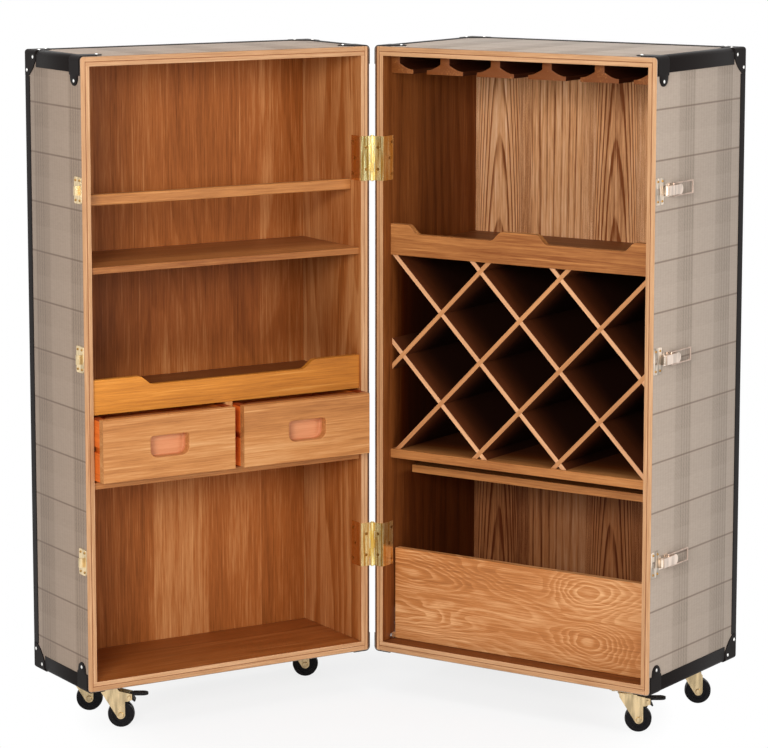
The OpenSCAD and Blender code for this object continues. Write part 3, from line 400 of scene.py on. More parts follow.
def wood(name, pale, mid, dark, swirl=(0.8, 5.0), rings=4.0, rows=40.0, line=0.2, crisp=(0.2, 0.85),
         streak=0.3, fibre=0.5, cloud=0.4, leaf=0.0, shine=0.25, figure=None, darkening=None, hem=0.0):
    """look holds, per board: how much growth line, how much lighter or darker, and
    how much it is stained or in painted shade: 0.5 is a deep tint and 1 nearly
    black. Below 0 it is painted shade that lies only deep in the case."""
    f = Finish(name, Specular_IOR_Level=shine)
    place_in = f.attribute("grain")
    amount, tone, shade = f.split(f.attribute("look"))
    case = f.split(f.attribute("case"))
    if leaf:
        number = (f.split(place_in)[1] / leaf).whole()
        roll = f.node("ShaderNodeTexWhiteNoise", {"noise_dimensions": "1D"},
                      {"W": number * 1.37 + 0.21}, out="Color")
        moved = f.stretch(roll, (2.0, 0.6, 2.0))
        place_in = f.node("ShaderNodeVectorMath", {"operation": "ADD"}, [place_in, moved])
        tone = tone + (f.split(roll)[0] - 0.5) * 0.22
    across = f.split(place_in)[1]
    slow = f.noise(place_in, (swirl[0], swirl[1], swirl[1]), detail=1.0, rough=0.4)
    wander = f.noise(place_in, (3.0, 30.0, 30.0), detail=1.0)
    phase = slow * rings + across * rows + wander * 0.8
    if figure:
        phase, near, strength = figure(f, phase, wander, case)
        amount = f.mix_value(amount, strength, near)
    ring = phase.part()
    late = ring.ramp(*crisp) * (1 - ring.ramp(0.9, 1.0)) * amount
    clouds = f.noise(place_in, (0.7, 7.0, 7.0), detail=4.0, rough=0.55)
    fibres = f.noise(place_in, (12.0, 360.0, 360.0), detail=4.0, rough=0.68)
    streaks = f.noise(place_in, (4.0, 170.0, 170.0), detail=1.0)
    pores = f.noise(place_in, (36.0, 900.0, 900.0), detail=1.0).ramp(0.58, 0.74)
    value = (clouds - 0.5) * (cloud * 1.6) + (fibres - 0.5) * (fibre * 1.5) + 0.5 + tone
    value = value + streaks.ramp(0.6, 0.78) * streak - (1 - streaks.ramp(0.24, 0.42)) * streak * 0.35
    value = (value - late * line - pores * 0.1).clamped()
    colour = f.mix(paint(*dark), paint(*mid), value.ramp(0.0, 0.5, "LINEAR"))
    colour = f.mix(colour, paint(*pale), value.ramp(0.5, 1.0, "LINEAR"))
    # A look shade below 0 is painted shade that grows towards the back of the case.
    shade = shade.clamped() + (0 - shade).clamped() * case[1].ramp(0.012, 0.16)
    if darkening:
        shade = shade + darkening(case)
    # hem paints shade along the hinge-side edge, where the gap between the halves is in shade.
    if hem:
        shade = shade + (1 - case[0].ramp(0.0036, 0.0048)) * hem
    tinted = f.mix(colour, f.stretch(colour, STAIN_AND_SHADE_TINT), (shade * 2).clamped())
    f.set(Base_Color=f.mix(tinted, STAIN_AND_SHADE_DARK, (shade * 2 - 1).clamped()),
          Roughness=(fibres - 0.5) * 0.16 + 0.44 + late * 0.06)
    f.bump(1 - pores * 0.7 - late * line + (fibres - 0.5) * 0.3, 0.0003, 0.5)
    return f.material


# %% [markdown]
# The back of the deep case and the flap show a bold figure, as boards do that are
# cut far from the middle of the trunk. A figure changes the phase of the growth
# lines near a few places. Some boards are also darkened in places, mostly with
# painted shade deep inside a case. Such a darkening is a function of the point's
# place in its case, in metres, and adds to the board's own.

# %% Figures and painted shade


def cathedral(f, phase, wander, case):
    """Tall arches round upright lines at s = 72 and 333 mm. With x the distance from
    the nearest line and z the height, the phase is 2300 x^2 + 6.6 z, so the growth
    lines are parabolas that crowd together as they run out. They are weaker on the
    upright itself, where a line would be as wide as it is long."""
    near = f.fold("MINIMUM", [(case[0] - s).size() for s in (0.072, 0.333)])
    inside = 1 - near.ramp(0.045, 0.075)
    arches = near * near * 2300 + case[2] * 6.6 + wander * 0.9
    return f.mix_value(phase, arches, inside), inside, near.ramp(0.0, 0.012) * 0.85 + 0.45


def eyes(f, phase, wander, case):
    """Closed rings round two places of the flap and long tongues from its hinge end. A
    smooth hill of 6.5 rings is added to the phase round each place, so the growth lines
    run round the hills and close on them. Heights count 2.2 times."""
    warp = f.noise(f.attribute("case"), (12.0, 12.0, 30.0))

    def away(s, z, squeeze):
        x, y = (case[0] - s) * squeeze, (case[2] - z) * 2.2
        return (x * x + y * y) ** 0.5
    spots = [(0.452, 0.158, 1.0), (0.455, 0.066, 1.0), (0.05, 0.160, 0.5), (0.03, 0.072, 0.5)]
    near = f.fold("MINIMUM", [away(*spot) for spot in spots])
    inside = 1 - (near + (warp - 0.5) * 0.05).ramp(0.0, 0.125)
    return phase + inside * 6.5 - wander * 0.55, inside * 0.6, 1.3


def deep_painted_shade(case):
    """Painted shade far inside the deep case: most in the rack's bay, then
    between the stem rails and behind the flap, 0 elsewhere and at the front."""
    _, d, z = case
    rack = z.ramp(0.388, 0.398) * (1 - z.ramp(0.758, 0.768))
    low = 1 - z.ramp(0.333, 0.345)
    return d.ramp(0.01, 0.12) * (rack * 0.9 + z.ramp(1.104, 1.114) * 0.75 + low * 0.4)


def shallow_painted_shade(case):
    """Painted shade, a little, in the shallow case's middle bay, between its two shelves."""
    _, d, z = case
    return d.ramp(0.02, 0.15) * z.ramp(0.52, 0.6) * (1 - z.ramp(0.755, 0.77)) * 0.2


def gallery_hinge_end_darkening(case):
    """The golden gallery is browner towards its hinge end."""
    return (1 - case[0].ramp(0.05, 0.5)) * 0.14


def rim_painted_shade(case):
    """Painted shade on the top 3 mm of the drawer boxes, under the board above them."""
    return case[2].ramp(0.5030, 0.5060) * 0.55


# %% The woods
wood_inside = wood("oak_veneer_inside", (202, 142, 88), (160, 91, 41), (108, 54, 16), swirl=(1.2, 7.0),
                   rings=7.0, rows=24.0, line=0.14, fibre=0.7, streak=0.22, cloud=0.8, leaf=0.118,
                   shine=0.12, darkening=shallow_painted_shade)
# The deep case's walls, top and bottom are a darker copy of the inside veneer: painted shade.
wood_walls_painted_shade = wood("oak_veneer_walls", (158, 98, 52), (126, 68, 28), (82, 38, 11), rows=24.0, line=0.1,
                  fibre=0.8, leaf=0.15, shine=0.1, darkening=deep_painted_shade)
wood_back = wood("oak_veneer_arched", (244, 200, 160), (217, 157, 106), (126, 66, 29), rows=60.0,
                 line=0.48, crisp=(0.5, 0.88), fibre=0.9, cloud=0.9, leaf=0.13, shine=0.15,
                 figure=cathedral, darkening=deep_painted_shade)
# hem=0.85 is the painted shade along the hinge-side edge.
wood_edge = wood("oak_edge_band", (224, 180, 138), (192, 144, 102), (146, 96, 56), rows=160.0,
                 fibre=0.7, cloud=0.6, hem=0.85)
wood_board = wood("oak_solid_boards", (218, 166, 112), (187, 124, 68), (130, 72, 30),
                  swirl=(1.2, 14.0), rows=30.0, fibre=0.6, cloud=0.8)
wood_gallery = wood("oak_golden_gallery", (234, 168, 88), (208, 132, 46), (156, 88, 20),
                    swirl=(1.2, 14.0), rows=30.0, line=0.16, fibre=0.6, cloud=0.7, darkening=gallery_hinge_end_darkening)
wood_flap = wood("oak_flap_figure", (236, 182, 128), (186, 118, 63), (128, 70, 30), swirl=(1.8, 10.0),
                 rings=16.0, rows=5.0, line=-0.3, crisp=(0.3, 0.85), fibre=0.7, streak=0.14,
                 cloud=0.9, figure=eyes)
wood_drawer = wood("oiled_drawer_sides", (244, 138, 58), (224, 108, 36), (170, 76, 22), rows=60.0,
                   streak=0.15, darkening=rim_painted_shade)
wood_cup = wood("oiled_pull_cup", (226, 164, 118), (208, 138, 94), (178, 106, 64), rows=60.0,
                streak=0.1, darkening=rim_painted_shade)
print("wood finishes ready")

# %% [markdown]
# ## The case boards
# Each half is a box within a box: an outer shell and an inner lining, which both
# show as a pale edge at the front with a dark groove between them. The lining's
# front edge is banded with the same pale strip as the shell, and a thin dark line of
# painted shade lies in the groove. Bands and lines are thin frames.

# %% Shells and linings
EDGE_R, FIT, EASE, BAND_EASE = 6.4, 0.2, 0.8, 0.25


def block(piece, s, d, z, grain="z", look=PLAIN, ease=0.6, r=None):
    """A rectangular board given by its ranges along s, d and z."""
    piece.add(board(rect(*s, *z, ease if r is None else r), *d, ease), "szd", grain, look)


def shell_boards(half):
    """Two sides with round outer corners, a bottom, a top and a thin back panel."""
    p = Piece(half)
    rear, look = DEPTH[half] - COVER, (0.1, 0, 0)
    tall, between = (COVER, CASE_H - COVER), (SEAM + FIT, CASE_W - SEAM - FIT)
    block(p, (COVER, SEAM), (0, rear), tall, "z", look, EASE, (EASE, EDGE_R, EDGE_R, EASE))
    block(p, (CASE_W - SEAM, CASE_W - COVER), (0, rear), tall, "z", look, EASE,
          (EDGE_R, EASE, EASE, EDGE_R))
    for z0 in (COVER, CASE_H - SEAM):
        block(p, between, (0, rear), (z0, z0 + SHELL), "s", look, EASE)
    block(p, between, (rear - PANEL, rear), (SEAM + FIT, CASE_H - SEAM - FIT), "z")
    p.make(f"{half}_shell_boards", wood_edge, "oak_edges", [f"{half}_shell"])


def lining_boards(half, materials, hinge_wall_painted_light):
    """Two sides, a bottom and a top, and behind them a back of the second material."""
    p = Piece(half)
    inner = DEPTH[half] - BACK
    for s0, tone in ((SEAM, hinge_wall_painted_light), (CASE_W - WALL, 0.03)):
        tall = (WALL + FIT, CASE_H - WALL - FIT)
        block(p, (s0, s0 + LINING), (0, inner), tall, "z", (1.8, tone, 0), EASE)
    # The top board's tone of -0.3 is painted shade on the ceiling of the case.
    for z0, tone in ((SEAM, 0.0), (CASE_H - WALL, -0.3)):
        block(p, (SEAM, CASE_W - SEAM), (0, inner), (z0, z0 + LINING), "s", (0.5, tone, 0), EASE)
    p.coat = 1
    block(p, (SEAM + FIT, CASE_W - SEAM - FIT), (inner + FIT, DEPTH[half] - COVER - PANEL),
          (SEAM + FIT, CASE_H - SEAM - FIT), "z", (0.75, 0, 0))
    p.make(f"{half}_lining_boards", materials, "oak_inside", [f"{half}_lining"])


shell_boards("deep")
lining_boards("deep", [wood_walls_painted_shade, wood_back], 0.0)
shell_boards("shallow")
# The shallow case's hinge wall is painted 0.36 lighter: painted light.
lining_boards("shallow", [wood_inside, wood_inside], 0.36)

# %% Edge bands of the linings


def frame_strips(name, half, low, high, depths, look):
    """A frame of four strips; low and high are its outer and inner distance from the
    case's side, and depths is its range in depth."""
    p = Piece(half)
    for s0, s1 in ((low, high), (CASE_W - high, CASE_W - low)):
        block(p, (s0, s1), depths, (high, CASE_H - high), "z", look, BAND_EASE)
    for z0, z1 in ((low, high), (CASE_H - high, CASE_H - low)):
        block(p, (low, CASE_W - low), depths, (z0, z1), "s", look, BAND_EASE)
    p.make(name, wood_edge, "oak_edges")


for half in DEPTH:
    frame_strips(f"{half}_edge_bands", half, SEAM + 0.75, WALL, (-0.3, 0.6), (0.1, 0.06, 0))
    # A thin dark frame of painted shade in the groove between shell and lining.
    frame_strips(f"{half}_groove_line", half, SEAM - 1.0, SEAM + 1.1, (0.15, 0.9), (0.1, 0, 0.46))

# %% [markdown]
# ## Shelves, rails and galleries
# The galleries are boards with scooped tops. Between the high and the low line the
# edge follows a smooth step, which a router leaves when it runs along a template.
# Shelves are plain boards from wall to wall, and the stem rails are six T sections.

# %% Outlines of the scooped boards
FLANGE, WEB, RAIL_LOW, RAIL_HIGH, RAIL_FRONT = 40.0, 10.0, 1108.0, 1142.0, 31.5


def scooped(x0, x1, z0, top, scoops, drop, run):
    """Board outline with hollows in its top edge. Each hollow starts and ends with
    a smooth step of that run and drops by that much."""
    t = np.linspace(0, 1, 14)
    line = [[[x0, z0], [x1, z0], [x1, top]]]
    for a, b in sorted(scoops, reverse=True):
        line.append(columns(b - run * t, top - drop * smooth_step(t)))
        line.append(columns(a + run * (1 - t), top - drop * smooth_step(1 - t)))
    return np.concatenate([*line, [[x0, top]]])


def stem_rail(mid):
    """Upside-down T with hollow shoulders: from flange tip to web the top edge
    rises by a quarter wave. What would stand in a side wall is cut off."""
    t = np.linspace(0, 1, 9)
    shoulder_x = FLANGE + (WEB - FLANGE) * t
    shoulder_z = RAIL_LOW + 8 + 11 * (1 - np.cos(np.pi * t / 2))
    outline = np.concatenate([
        [[mid - FLANGE, RAIL_LOW], [mid + FLANGE, RAIL_LOW]], columns(mid + shoulder_x, shoulder_z),
        [[mid + WEB, RAIL_HIGH], [mid - WEB, RAIL_HIGH]], columns(mid - shoulder_x, shoulder_z)[::-1]])
    outline[:, 0] = np.clip(outline[:, 0], *INSIDE)
    return outline[np.linalg.norm(outline - np.roll(outline, 1, 0), axis=1) > 1e-6]


def gallery(half, name, node, z, d, scoops, drop, run, look, finish):
    """A scooped board from wall to wall."""
    p = Piece(half)
    p.add(board(scooped(*INSIDE, *z, scoops, drop, run), *d, EASE), "szd", "s", look)
    p.make(name, finish, "oak_boards", [node])


def shelf(half, name, node, d, z, look, ease=EASE):
    """A board from wall to wall, by its ranges in depth and height."""
    p = Piece(half)
    block(p, INSIDE, d, z, "s", look, ease)
    p.make(name, wood_board, "oak_boards", [node])


# %% Boards of the deep half
p = Piece("deep")
for mid in (25, 135, 245, 355, 465, 575):
    rings = board(stem_rail(mid), RAIL_FRONT, DEEP_IN, 0.5)
    look = np.tile([0.2, -0.5, 0.12], (rings.size // 3, 1))
    look[rings[..., 2].ravel() > RAIL_FRONT + 0.3, 2] = 0.85  # painted shade: behind their sawn ends the rails lie in the dark slots
    p.add(rings, "szd", "d", look)
p.make("stemware_rail_boards", wood_board, "oak_boards", ["stemware_rails"], smooth=40)

# A look shade below 0 gives these shelves painted shade towards their backs.
shelf("deep", "stem_shelf_board", "stem_shelf", (40.4, DEEP_IN), (764.5, 780), (0.4, -0.2, -0.3), 0.6)
gallery("deep", "stem_gallery_board", "stem_shelf_gallery", (764.5, 824), (26.4, 40.4),
        [(54, 264), (336, 546)], 17.5, 26, (0.5, -0.16, 0), wood_board)
shelf("deep", "rack_floor_board", "rack_floor", (26.4, DEEP_IN), (374, 391), (0.3, -0.02, -0.8))
shelf("deep", "tray_shelf_board", "tray_shelf", (102, DEEP_IN), (333, 348), (0.2, -0.1, 0))

p = Piece("deep")
block(p, (WALL + 2.6, CASE_W - WALL - 2.6), (39, 54), (WALL + 0.4, 196), "s", (0.42, 0.02, 0), 0.9)
p.make("drop_flap_board", wood_flap, "oak_boards", ["drop_flap"], "flap")

# %% Boards of the shallow half
RUNNER_W, DIVIDER = 8.2, (292.5, 307.5)
shelf("shallow", "bottle_rail_bar", "bottle_rail", (36, 50), (888, 908), (0.2, -0.16, 0), 2.0)
# The upper shelf and drawer top get painted shade towards their backs too.
shelf("shallow", "upper_shelf_board", "upper_shelf", (7, SHALLOW_IN), (768, 780), (0.4, -0.1, -0.3))
gallery("shallow", "drawer_gallery_board", "drawer_gallery", (511, 575), (7, 19),
        [(113, 487)], 17, 31, (0.4, -0.08, 0), wood_gallery)
shelf("shallow", "drawer_top_board", "drawer_top_shelf", (19, SHALLOW_IN), (520, 535),
      (0.3, -0.15, -0.35), 0.6)

p = Piece("shallow")
side = np.array([[7, 387], [218, 387], [218, 520], [19, 520], [19, 511], [7, 511]], float)
p.add(board(side, *DIVIDER, 0.5), "dzs", "z", (0.2, 0, 0))
p.make("drawer_divider_board", wood_board, "oak_boards", ["drawer_divider"])

shelf("shallow", "drawer_floor_board", "drawer_board", (7, SHALLOW_IN), (374.5, 387), (0.3, 0.0, 0))

p = Piece("shallow")
for s0 in (18, DIVIDER[0] - RUNNER_W, DIVIDER[1], CASE_W - 18 - RUNNER_W):
    block(p, (s0, s0 + RUNNER_W), (29, SHALLOW_IN), (445, 455), "d", (0.1, 0.05, 0), EASE)
p.make("drawer_runner_strips", wood_board, "oak_boards", ["drawer_runners"])

# %% [markdown]
# ## Drawers
# A drawer front has a pull cut right through it, and the board behind closes the
# hole as a shallow cup. Both are rings between two outlines that are sampled at the
# same angles about the pull's middle, so a ring of one meets a ring of the other.

# %% Drawer shapes
DRAWER_W, DRAWER_H, DRAWER_Z = 270.9, 115.0, 392.5
HALF_W, HALF_H = DRAWER_W / 2, DRAWER_H / 2
FRONT_T, OUT, SIDE_T, BOX_L = 16.0, 34.0, 12.0, 192.0
PULL_W, PULL_H, CUP = 39.5, 20.0, 8.0
PULL = rect(-PULL_W, PULL_W, -PULL_H, PULL_H, (6.0, 6.0, 15.0, 15.0))
GROOVE_DEEP, GROOVE_HALF = 7.4, 5.5
ANGLES = np.unique(np.concatenate([
    np.linspace(-np.pi, np.pi, 97)[:-1],
    np.arctan2([HALF_H, HALF_H, -HALF_H, -HALF_H], [HALF_W, -HALF_W, HALF_W, -HALF_W])]))
ROUND = [(1 - np.sin(t), 1 - np.cos(t)) for t in np.radians([0, 30, 60, 90])]


def spread(radius, level):
    """A ring with one radius for each of the angles, at one level."""
    return columns(radius * np.cos(ANGLES), radius * np.sin(ANGLES), level)


def box_ring(inset, level, w=HALF_W, h=HALF_H):
    """A rectangle of half sizes w and h, drawn in by inset: at each angle the radius
    is the smaller of w / |cos| and h / |sin|."""
    c, s = np.abs(np.cos(ANGLES)), np.abs(np.sin(ANGLES))
    return spread(np.minimum((w - inset) / np.maximum(c, 1e-9), (h - inset) / np.maximum(s, 1e-9)), level)


def pull_ring(inset, level):
    """The pull's outline, drawn in by inset (or let out if negative). Its distance from
    the middle at each angle is read off between points that lie close along it."""
    outline = carry(PULL, [(inset, 0)])[0, :, :2]
    step = np.roll(outline, -1, 0) - outline
    dense = np.concatenate([outline + step * t for t in np.linspace(0, 1, 12, endpoint=False)])
    a, r = np.arctan2(dense[:, 1], dense[:, 0]), np.linalg.norm(dense, axis=1)
    order = np.argsort(a)
    return spread(np.interp(ANGLES, a[order], r[order], period=2 * np.pi), level)


def drawer_front(name, s0):
    """Rings out along the back, round the outer edge, in along the face, round the lip
    of the pull and back through the hole. They are then reversed, so that the faces
    between them point outwards."""
    e, lip = 0.9, 1.6
    rings = [pull_ring(0, FRONT_T), box_ring(e, FRONT_T)]
    rings += [box_ring(e * u, FRONT_T - e * v) for u, v in ROUND[1:]]
    rings += [box_ring(e * v, e * u) for u, v in ROUND]
    rings += [pull_ring(-lip * u, lip * v) for u, v in ROUND]
    p = Piece("shallow")
    at = (s0 + HALF_W, -OUT, DRAWER_Z + HALF_H)
    p.add(np.stack(rings)[::-1], "szd", "s", (0.55, 0.03, 0), torus=True, at=at)
    p.make(f"{name}_face", wood_board, "oak_boards", [f"{name}_front"], name)


def drawer_box(name, s0):
    """Two grooved sides, a front board with the cup, a back board and a bottom."""
    p = Piece("shallow")
    d0, z0, z1 = FRONT_T - OUT, DRAWER_Z, DRAWER_Z + DRAWER_H
    d1, mid = d0 + BOX_L, z0 + HALF_H
    side = np.array([[0, z0], [SIDE_T, z0], [SIDE_T, z1], [0, z1],
                     [0, mid + GROOVE_HALF], [GROOVE_DEEP, mid + GROOVE_HALF],
                     [GROOVE_DEEP, mid - GROOVE_HALF], [0, mid - GROOVE_HALF]])
    p.add(board(side + [s0, 0], d0, d1, 0.5), "szd", "d")
    p.add(board((side * [-1, 1])[::-1] + [s0 + DRAWER_W, 0], d0, d1, 0.5), "szd", "d")
    inner = (s0 + SIDE_T + FIT, s0 + DRAWER_W - SIDE_T - FIT)
    w = (inner[1] - inner[0]) / 2
    cup = [box_ring(0, SIDE_T, w), box_ring(0, 0, w), pull_ring(0, 0)]
    cup += [pull_ring(2.5 * v, CUP - 2.5 * u) for u, v in ROUND]
    p.coat = 1
    p.add(np.stack(cup)[::-1], "szd", "s", (0.3, 0.1, 0), at=(s0 + HALF_W, d0, mid))
    p.coat = 0
    block(p, inner, (d1 - SIDE_T, d1), (z0, z1), "s")
    block(p, inner, (d0 + SIDE_T + FIT, d1 - SIDE_T - FIT), (z0 + 4, z0 + 9), "s")
    p.make(f"{name}_tub", [wood_drawer, wood_cup], "drawer_wood", [f"{name}_box"], name)


for name, s0 in (("inner_drawer", 19.8), ("outer_drawer", 309.3)):
    drawer_front(name, s0)
    drawer_box(name, s0)

# %% [markdown]
# ## The checked cloth
# A stiff woven cloth covers the outside. Its check is a traditional one: a fine
# ground, wide bands of pinstripe that run up the case, and thin brown lines across
# at equal heights. The skin is one outline carried from its front hem round the rear
# edge to the middle of the back and in again, so it has a real thickness. Its UV
# map is in metres on every face, so the check keeps its size.

# %% Cloth finish


def cloth_finish(name, dark, pale):
    """u runs across the bands and v along them, in metres. Bands repeat every 144.5 mm,
    cross lines every 91.2 mm, pinstripes every 9.8 mm and threads every 2.2 mm."""
    f = Finish(name, Specular_IOR_Level=0.2, Sheen_Weight=0.15)
    u, v = f.split(f.node("ShaderNodeUVMap", {"uv_map": "cloth"}))[:2]
    band = ((u - 0.084) / 0.1445).part()
    inside = band.ramp(0.0, 0.012) * (1 - band.ramp(0.41, 0.422))
    pin = (u / 0.0098).wave() ** 3
    stripes = pin * band.ramp(0.1, 0.16)
    weft = ((v - 0.0185) / 0.0912).part()
    cross = weft.ramp(0.0, 0.03) * (1 - weft.ramp(0.44, 0.47))
    ground = (u / 0.0022).wave() * (v / 0.0022).wave()
    tooth = ((u + v) / 0.0088).wave() * inside * cross
    lines = ((v - 0.0640) / 0.0912 + 0.5).part() - 0.5
    over = 1 - lines.size().ramp(0.006, 0.03)
    edge = 1 - (band - 0.415).size().ramp(0.004, 0.011)
    slub = f.noise(f.object_place(), (60, 60, 420))
    value = 0.69 - inside * 0.19 - stripes * inside * 0.26 - pin * (1 - inside) * 0.07
    value = value - cross * 0.05 - tooth * 0.08 + (ground - 0.25) * 0.14
    value = (value + (slub - 0.5) * 0.3 - edge * 0.1).clamped()
    colour = f.mix(paint(*dark), paint(*pale), value)
    f.set(Base_Color=f.mix(colour, paint(104, 84, 70), over * 0.66), Roughness=(slub - 0.5) * 0.2 + 0.82)
    f.bump(ground + slub * 0.5, 0.0003, 0.5)
    return f.material


# The shallow case's cloth is a darker copy of the same cloth: painted shade.
cloths = {"deep": cloth_finish("checked_cloth", (132, 118, 104), (188, 171, 156)),
          "shallow": cloth_finish("checked_cloth_warm", (124, 106, 90), (178, 157, 139))}
print("cloths ready:", len(cloths))

# %% Cloth skin
CLOTH_R, BEND_R = 7.2, 2.4
CHECK_SHIFT = {"deep": 0.0, "shallow": 48.0}


def cloth_uv(mesh, half, points):
    """UV in metres: (d, z) on the sides, (s, z) on the back and (s, d) above and
    below, chosen by the largest part of each face's normal."""
    count = len(mesh.polygons)
    normal, loops, corner = np.empty(count * 3), np.empty(count, int), np.empty(len(mesh.loops), int)
    mesh.polygons.foreach_get("normal", normal)
    mesh.polygons.foreach_get("loop_total", loops)
    mesh.loops.foreach_get("vertex_index", corner)
    x, y, z = normal.reshape(-1, 3).T
    if half == "shallow":
        x, y = x * COS + y * SIN, -x * SIN + y * COS
    main = np.repeat(np.abs(columns(x, y, z)).argmax(1), loops)
    s, d, z = points[corner].T
    u = np.where(main == 0, d, s) - CHECK_SHIFT[half]
    v = np.where(main == 2, d, z)
    layer = mesh.uv_layers.new(name="cloth")
    layer.data.foreach_set("uv", (columns(u, v) * MM).ravel())


for half, depth in DEPTH.items():
    inner = [(COVER, depth - COVER), (COVER, 0.4)]
    hem = [(COVER * 0.7, 0.1), (COVER * 0.3, 0.1), (0, 0.4)]
    a = np.radians(np.linspace(0, 90, 5))
    outer = columns(BEND_R * (1 - np.cos(a)), depth - BEND_R * (1 - np.sin(a)))
    p = Piece(half)
    p.add(carry(rect(0, CASE_W, 0, CASE_H, CLOTH_R), [*inner, *hem, *outer]))
    skin = p.make(f"{half}_cloth", cloths[half], "covering", [f"{half}_covering"], smooth=50)
    cloth_uv(skin.data, half, p.points[0])

# %% [markdown]
# ## Black edging
# The edges are bound with black strips of L section, and the corners are capped.
# All of it is slightly rounded, as pressed fibre is. A strip is its L profile pulled
# along the edge. A front cap is a band folded over the case edge, as wide at each
# depth as its tongue needs. A rear cap is three equal patches that meet on the
# three edges; every point near an edge is moved onto a rounded one.

# %% Straight strips
EDGE_T, CAP_T, BAND, TOP_BAND = 1.2, 1.8, 29.0, 20.0
STRIP_FRONT, STRIP_END, STRIP_EASE = 42.3, 47.3, 0.15
CORNERS = [(far, top, 2 * far - 1, 2 * top - 1) for far in (0, 1) for top in (0, 1)]


def bend(t, r, n):
    """The round of a folded strip of thickness t in n points: t - r + r (cos a, sin a)."""
    a = np.linspace(0, np.pi / 2, n)
    return columns(t - r + r * np.cos(a), t - r + r * np.sin(a))


def folded(side, top, r=8.4):
    """L profile in (x, y) about a case corner at the origin, the case below and left:
    arms down the side and along the top, round outside and inside."""
    t, e, lift = EDGE_T, 0.35, 0.02
    return np.concatenate([
        [[lift, -side], [t - e, -side], [t, -side + e]], bend(t, r, 7),
        [[-top + e, t], [-top, t - e], [-top, lift]], bend(0, r - t, 7)[::-1]])


strips = {}
for half, depth in DEPTH.items():
    p = strips[half] = Piece(half)
    for far, top, sx, sz in CORNERS:
        outline = folded(BAND, TOP_BAND)[::sx * sz] * [sx, sz] + [CASE_W * far, CASE_H * top]
        p.add(board(outline, STRIP_FRONT, depth - STRIP_END, STRIP_EASE), "szd", "d")
        if top:
            outline = folded(TOP_BAND, TOP_BAND, 4.0)[::sx] * [sx, 1] + [CASE_W * far, depth]
            p.add(board(outline, STRIP_END, CASE_H - STRIP_END, STRIP_EASE), "sdz", "z")
    for top, sz in ((0, -1), (1, 1)):
        outline = folded(BAND, TOP_BAND, 4.0)[::sz] * [1, sz] + [depth, CASE_H * top]
        p.add(board(outline, STRIP_END, CASE_W - STRIP_END, STRIP_EASE), "dzs", "s")
print("strips:", {half: len(p.points) for half, p in strips.items()})

# %% Front caps
TONGUE_AT, TONGUE_R, TONGUE_START, CAP_W = 23.0, 15.0, 38.0, 34.0


def cap_width(d, tongue):
    """How far the cap reaches from the corner at depth d: 34 mm, and over the tongue
    38 + sqrt(15^2 - (d - 23)^2)."""
    off = d - TONGUE_AT
    reach = TONGUE_START + np.sqrt(np.clip(TONGUE_R ** 2 - off ** 2, 0, None))
    return np.where((np.abs(off) < TONGUE_R) & tongue, reach, CAP_W)[:, None]


def front_cap(top_tongue):
    """Rings of (x, y, d) about the corner: across each ring the skin runs from the
    side's free edge over the rounded corner to the top's free edge and back below."""
    around = TONGUE_AT - TONGUE_R * np.cos(np.radians(np.linspace(0, 180, 19)))
    d = np.concatenate([[0.5, 0.7, 1.2, 4.0, 7.9], around, [38.1, 40.5, 41.3, 41.8, 42.0]])
    lower = np.interp(d, [0.5, 0.7, 1.2, 41.3, 41.8, 42.0], [0.7, 0.25, 0, 0, 0.25, 0.7])
    t, r, e = (CAP_T - lower)[:, None], 9.0, 0.7
    rim = np.radians([0, 20, 55, 90])

    def arm(width):
        """Rows of (out, along), from the free edge to the middle of the flat part."""
        edge = columns(t - e * (1 - np.sin(rim)), width - e * (1 - np.cos(rim)))
        return np.concatenate([columns(0.02, width), edge, columns(t, 0.5 * (width + r))], 1)

    side = arm(cap_width(d, True)) * [1, -1]
    top = arm(cap_width(d, top_tongue))[:, ::-1, ::-1] * [-1, 1]
    under = bend(0 * t, r - CAP_T, 8)[:, ::-1]
    ring = np.concatenate([side, bend(t, r, 8), top, under], 1)
    return columns(ring[..., 0], ring[..., 1], d[:, None])


for half, p in strips.items():
    for far, top, sx, sz in CORNERS:
        ring = front_cap(bool(top))[:, ::sx * sz] * [sx, sz, 1]
        p.add(ring, "szd", "d", at=(CASE_W * far, 0, CASE_H * top))
print("a front cap's grid:", ring.shape[:2])

# %% Rear caps


def rear_patch():
    """One of the three patches. p and q run inwards from the corner; the outline is
    q = w(p): 47 up to p = 16, then falling through (29, 38) and (38, 29) to (47, 16).
    The last rows of both drop round the free edge to the case."""
    t, arm, e = CAP_T, 47.0, 0.6
    near = np.array([0, 0.6, 1.3, 2.1, 3.0, 4.0, 5.2, 6.6, 8.0])
    p = np.concatenate([near - t, np.linspace(10, arm, 12), [arm] * 3])
    p[-4:-2] -= [e, e * 0.4]
    drop = np.zeros_like(p)
    drop[-3:] = [0.25, 0.6, t]
    width = np.interp(p, [-t, 16, 29, 38, 47], [47, 47, 38, 29, 16])[:, None]
    q = (p + t) / (arm + t) * (width + t) - t
    return np.broadcast_arrays(p[:, None], q, np.maximum(drop[:, None], drop))


def rear_cap():
    """Three patches, outer skin and under side, joined along their free edges. A point
    P of the sharp skin goes to c + r (P - c) / |P - c|, c = min(P, t - r)."""
    p, q, fall = rear_patch()
    r = 6.0
    points, faces = [], []
    quads = grid_faces(*p.shape, wrap_cols=False)
    for k in range(3):
        sharp = np.roll(columns(CAP_T, -p, -q), k, -1)
        centre = np.minimum(sharp, CAP_T - r)
        away = sharp - centre
        away /= np.linalg.norm(away, axis=-1, keepdims=True)
        skin = centre + (r - fall[..., None]) * away
        below = centre + (r - CAP_T) * away
        points += [skin.reshape(-1, 3), below.reshape(-1, 3)]
        faces += (quads + 2 * k * p.size).tolist()
        faces += (quads[:, ::-1] + (2 * k + 1) * p.size).tolist()
    return np.concatenate(points), faces


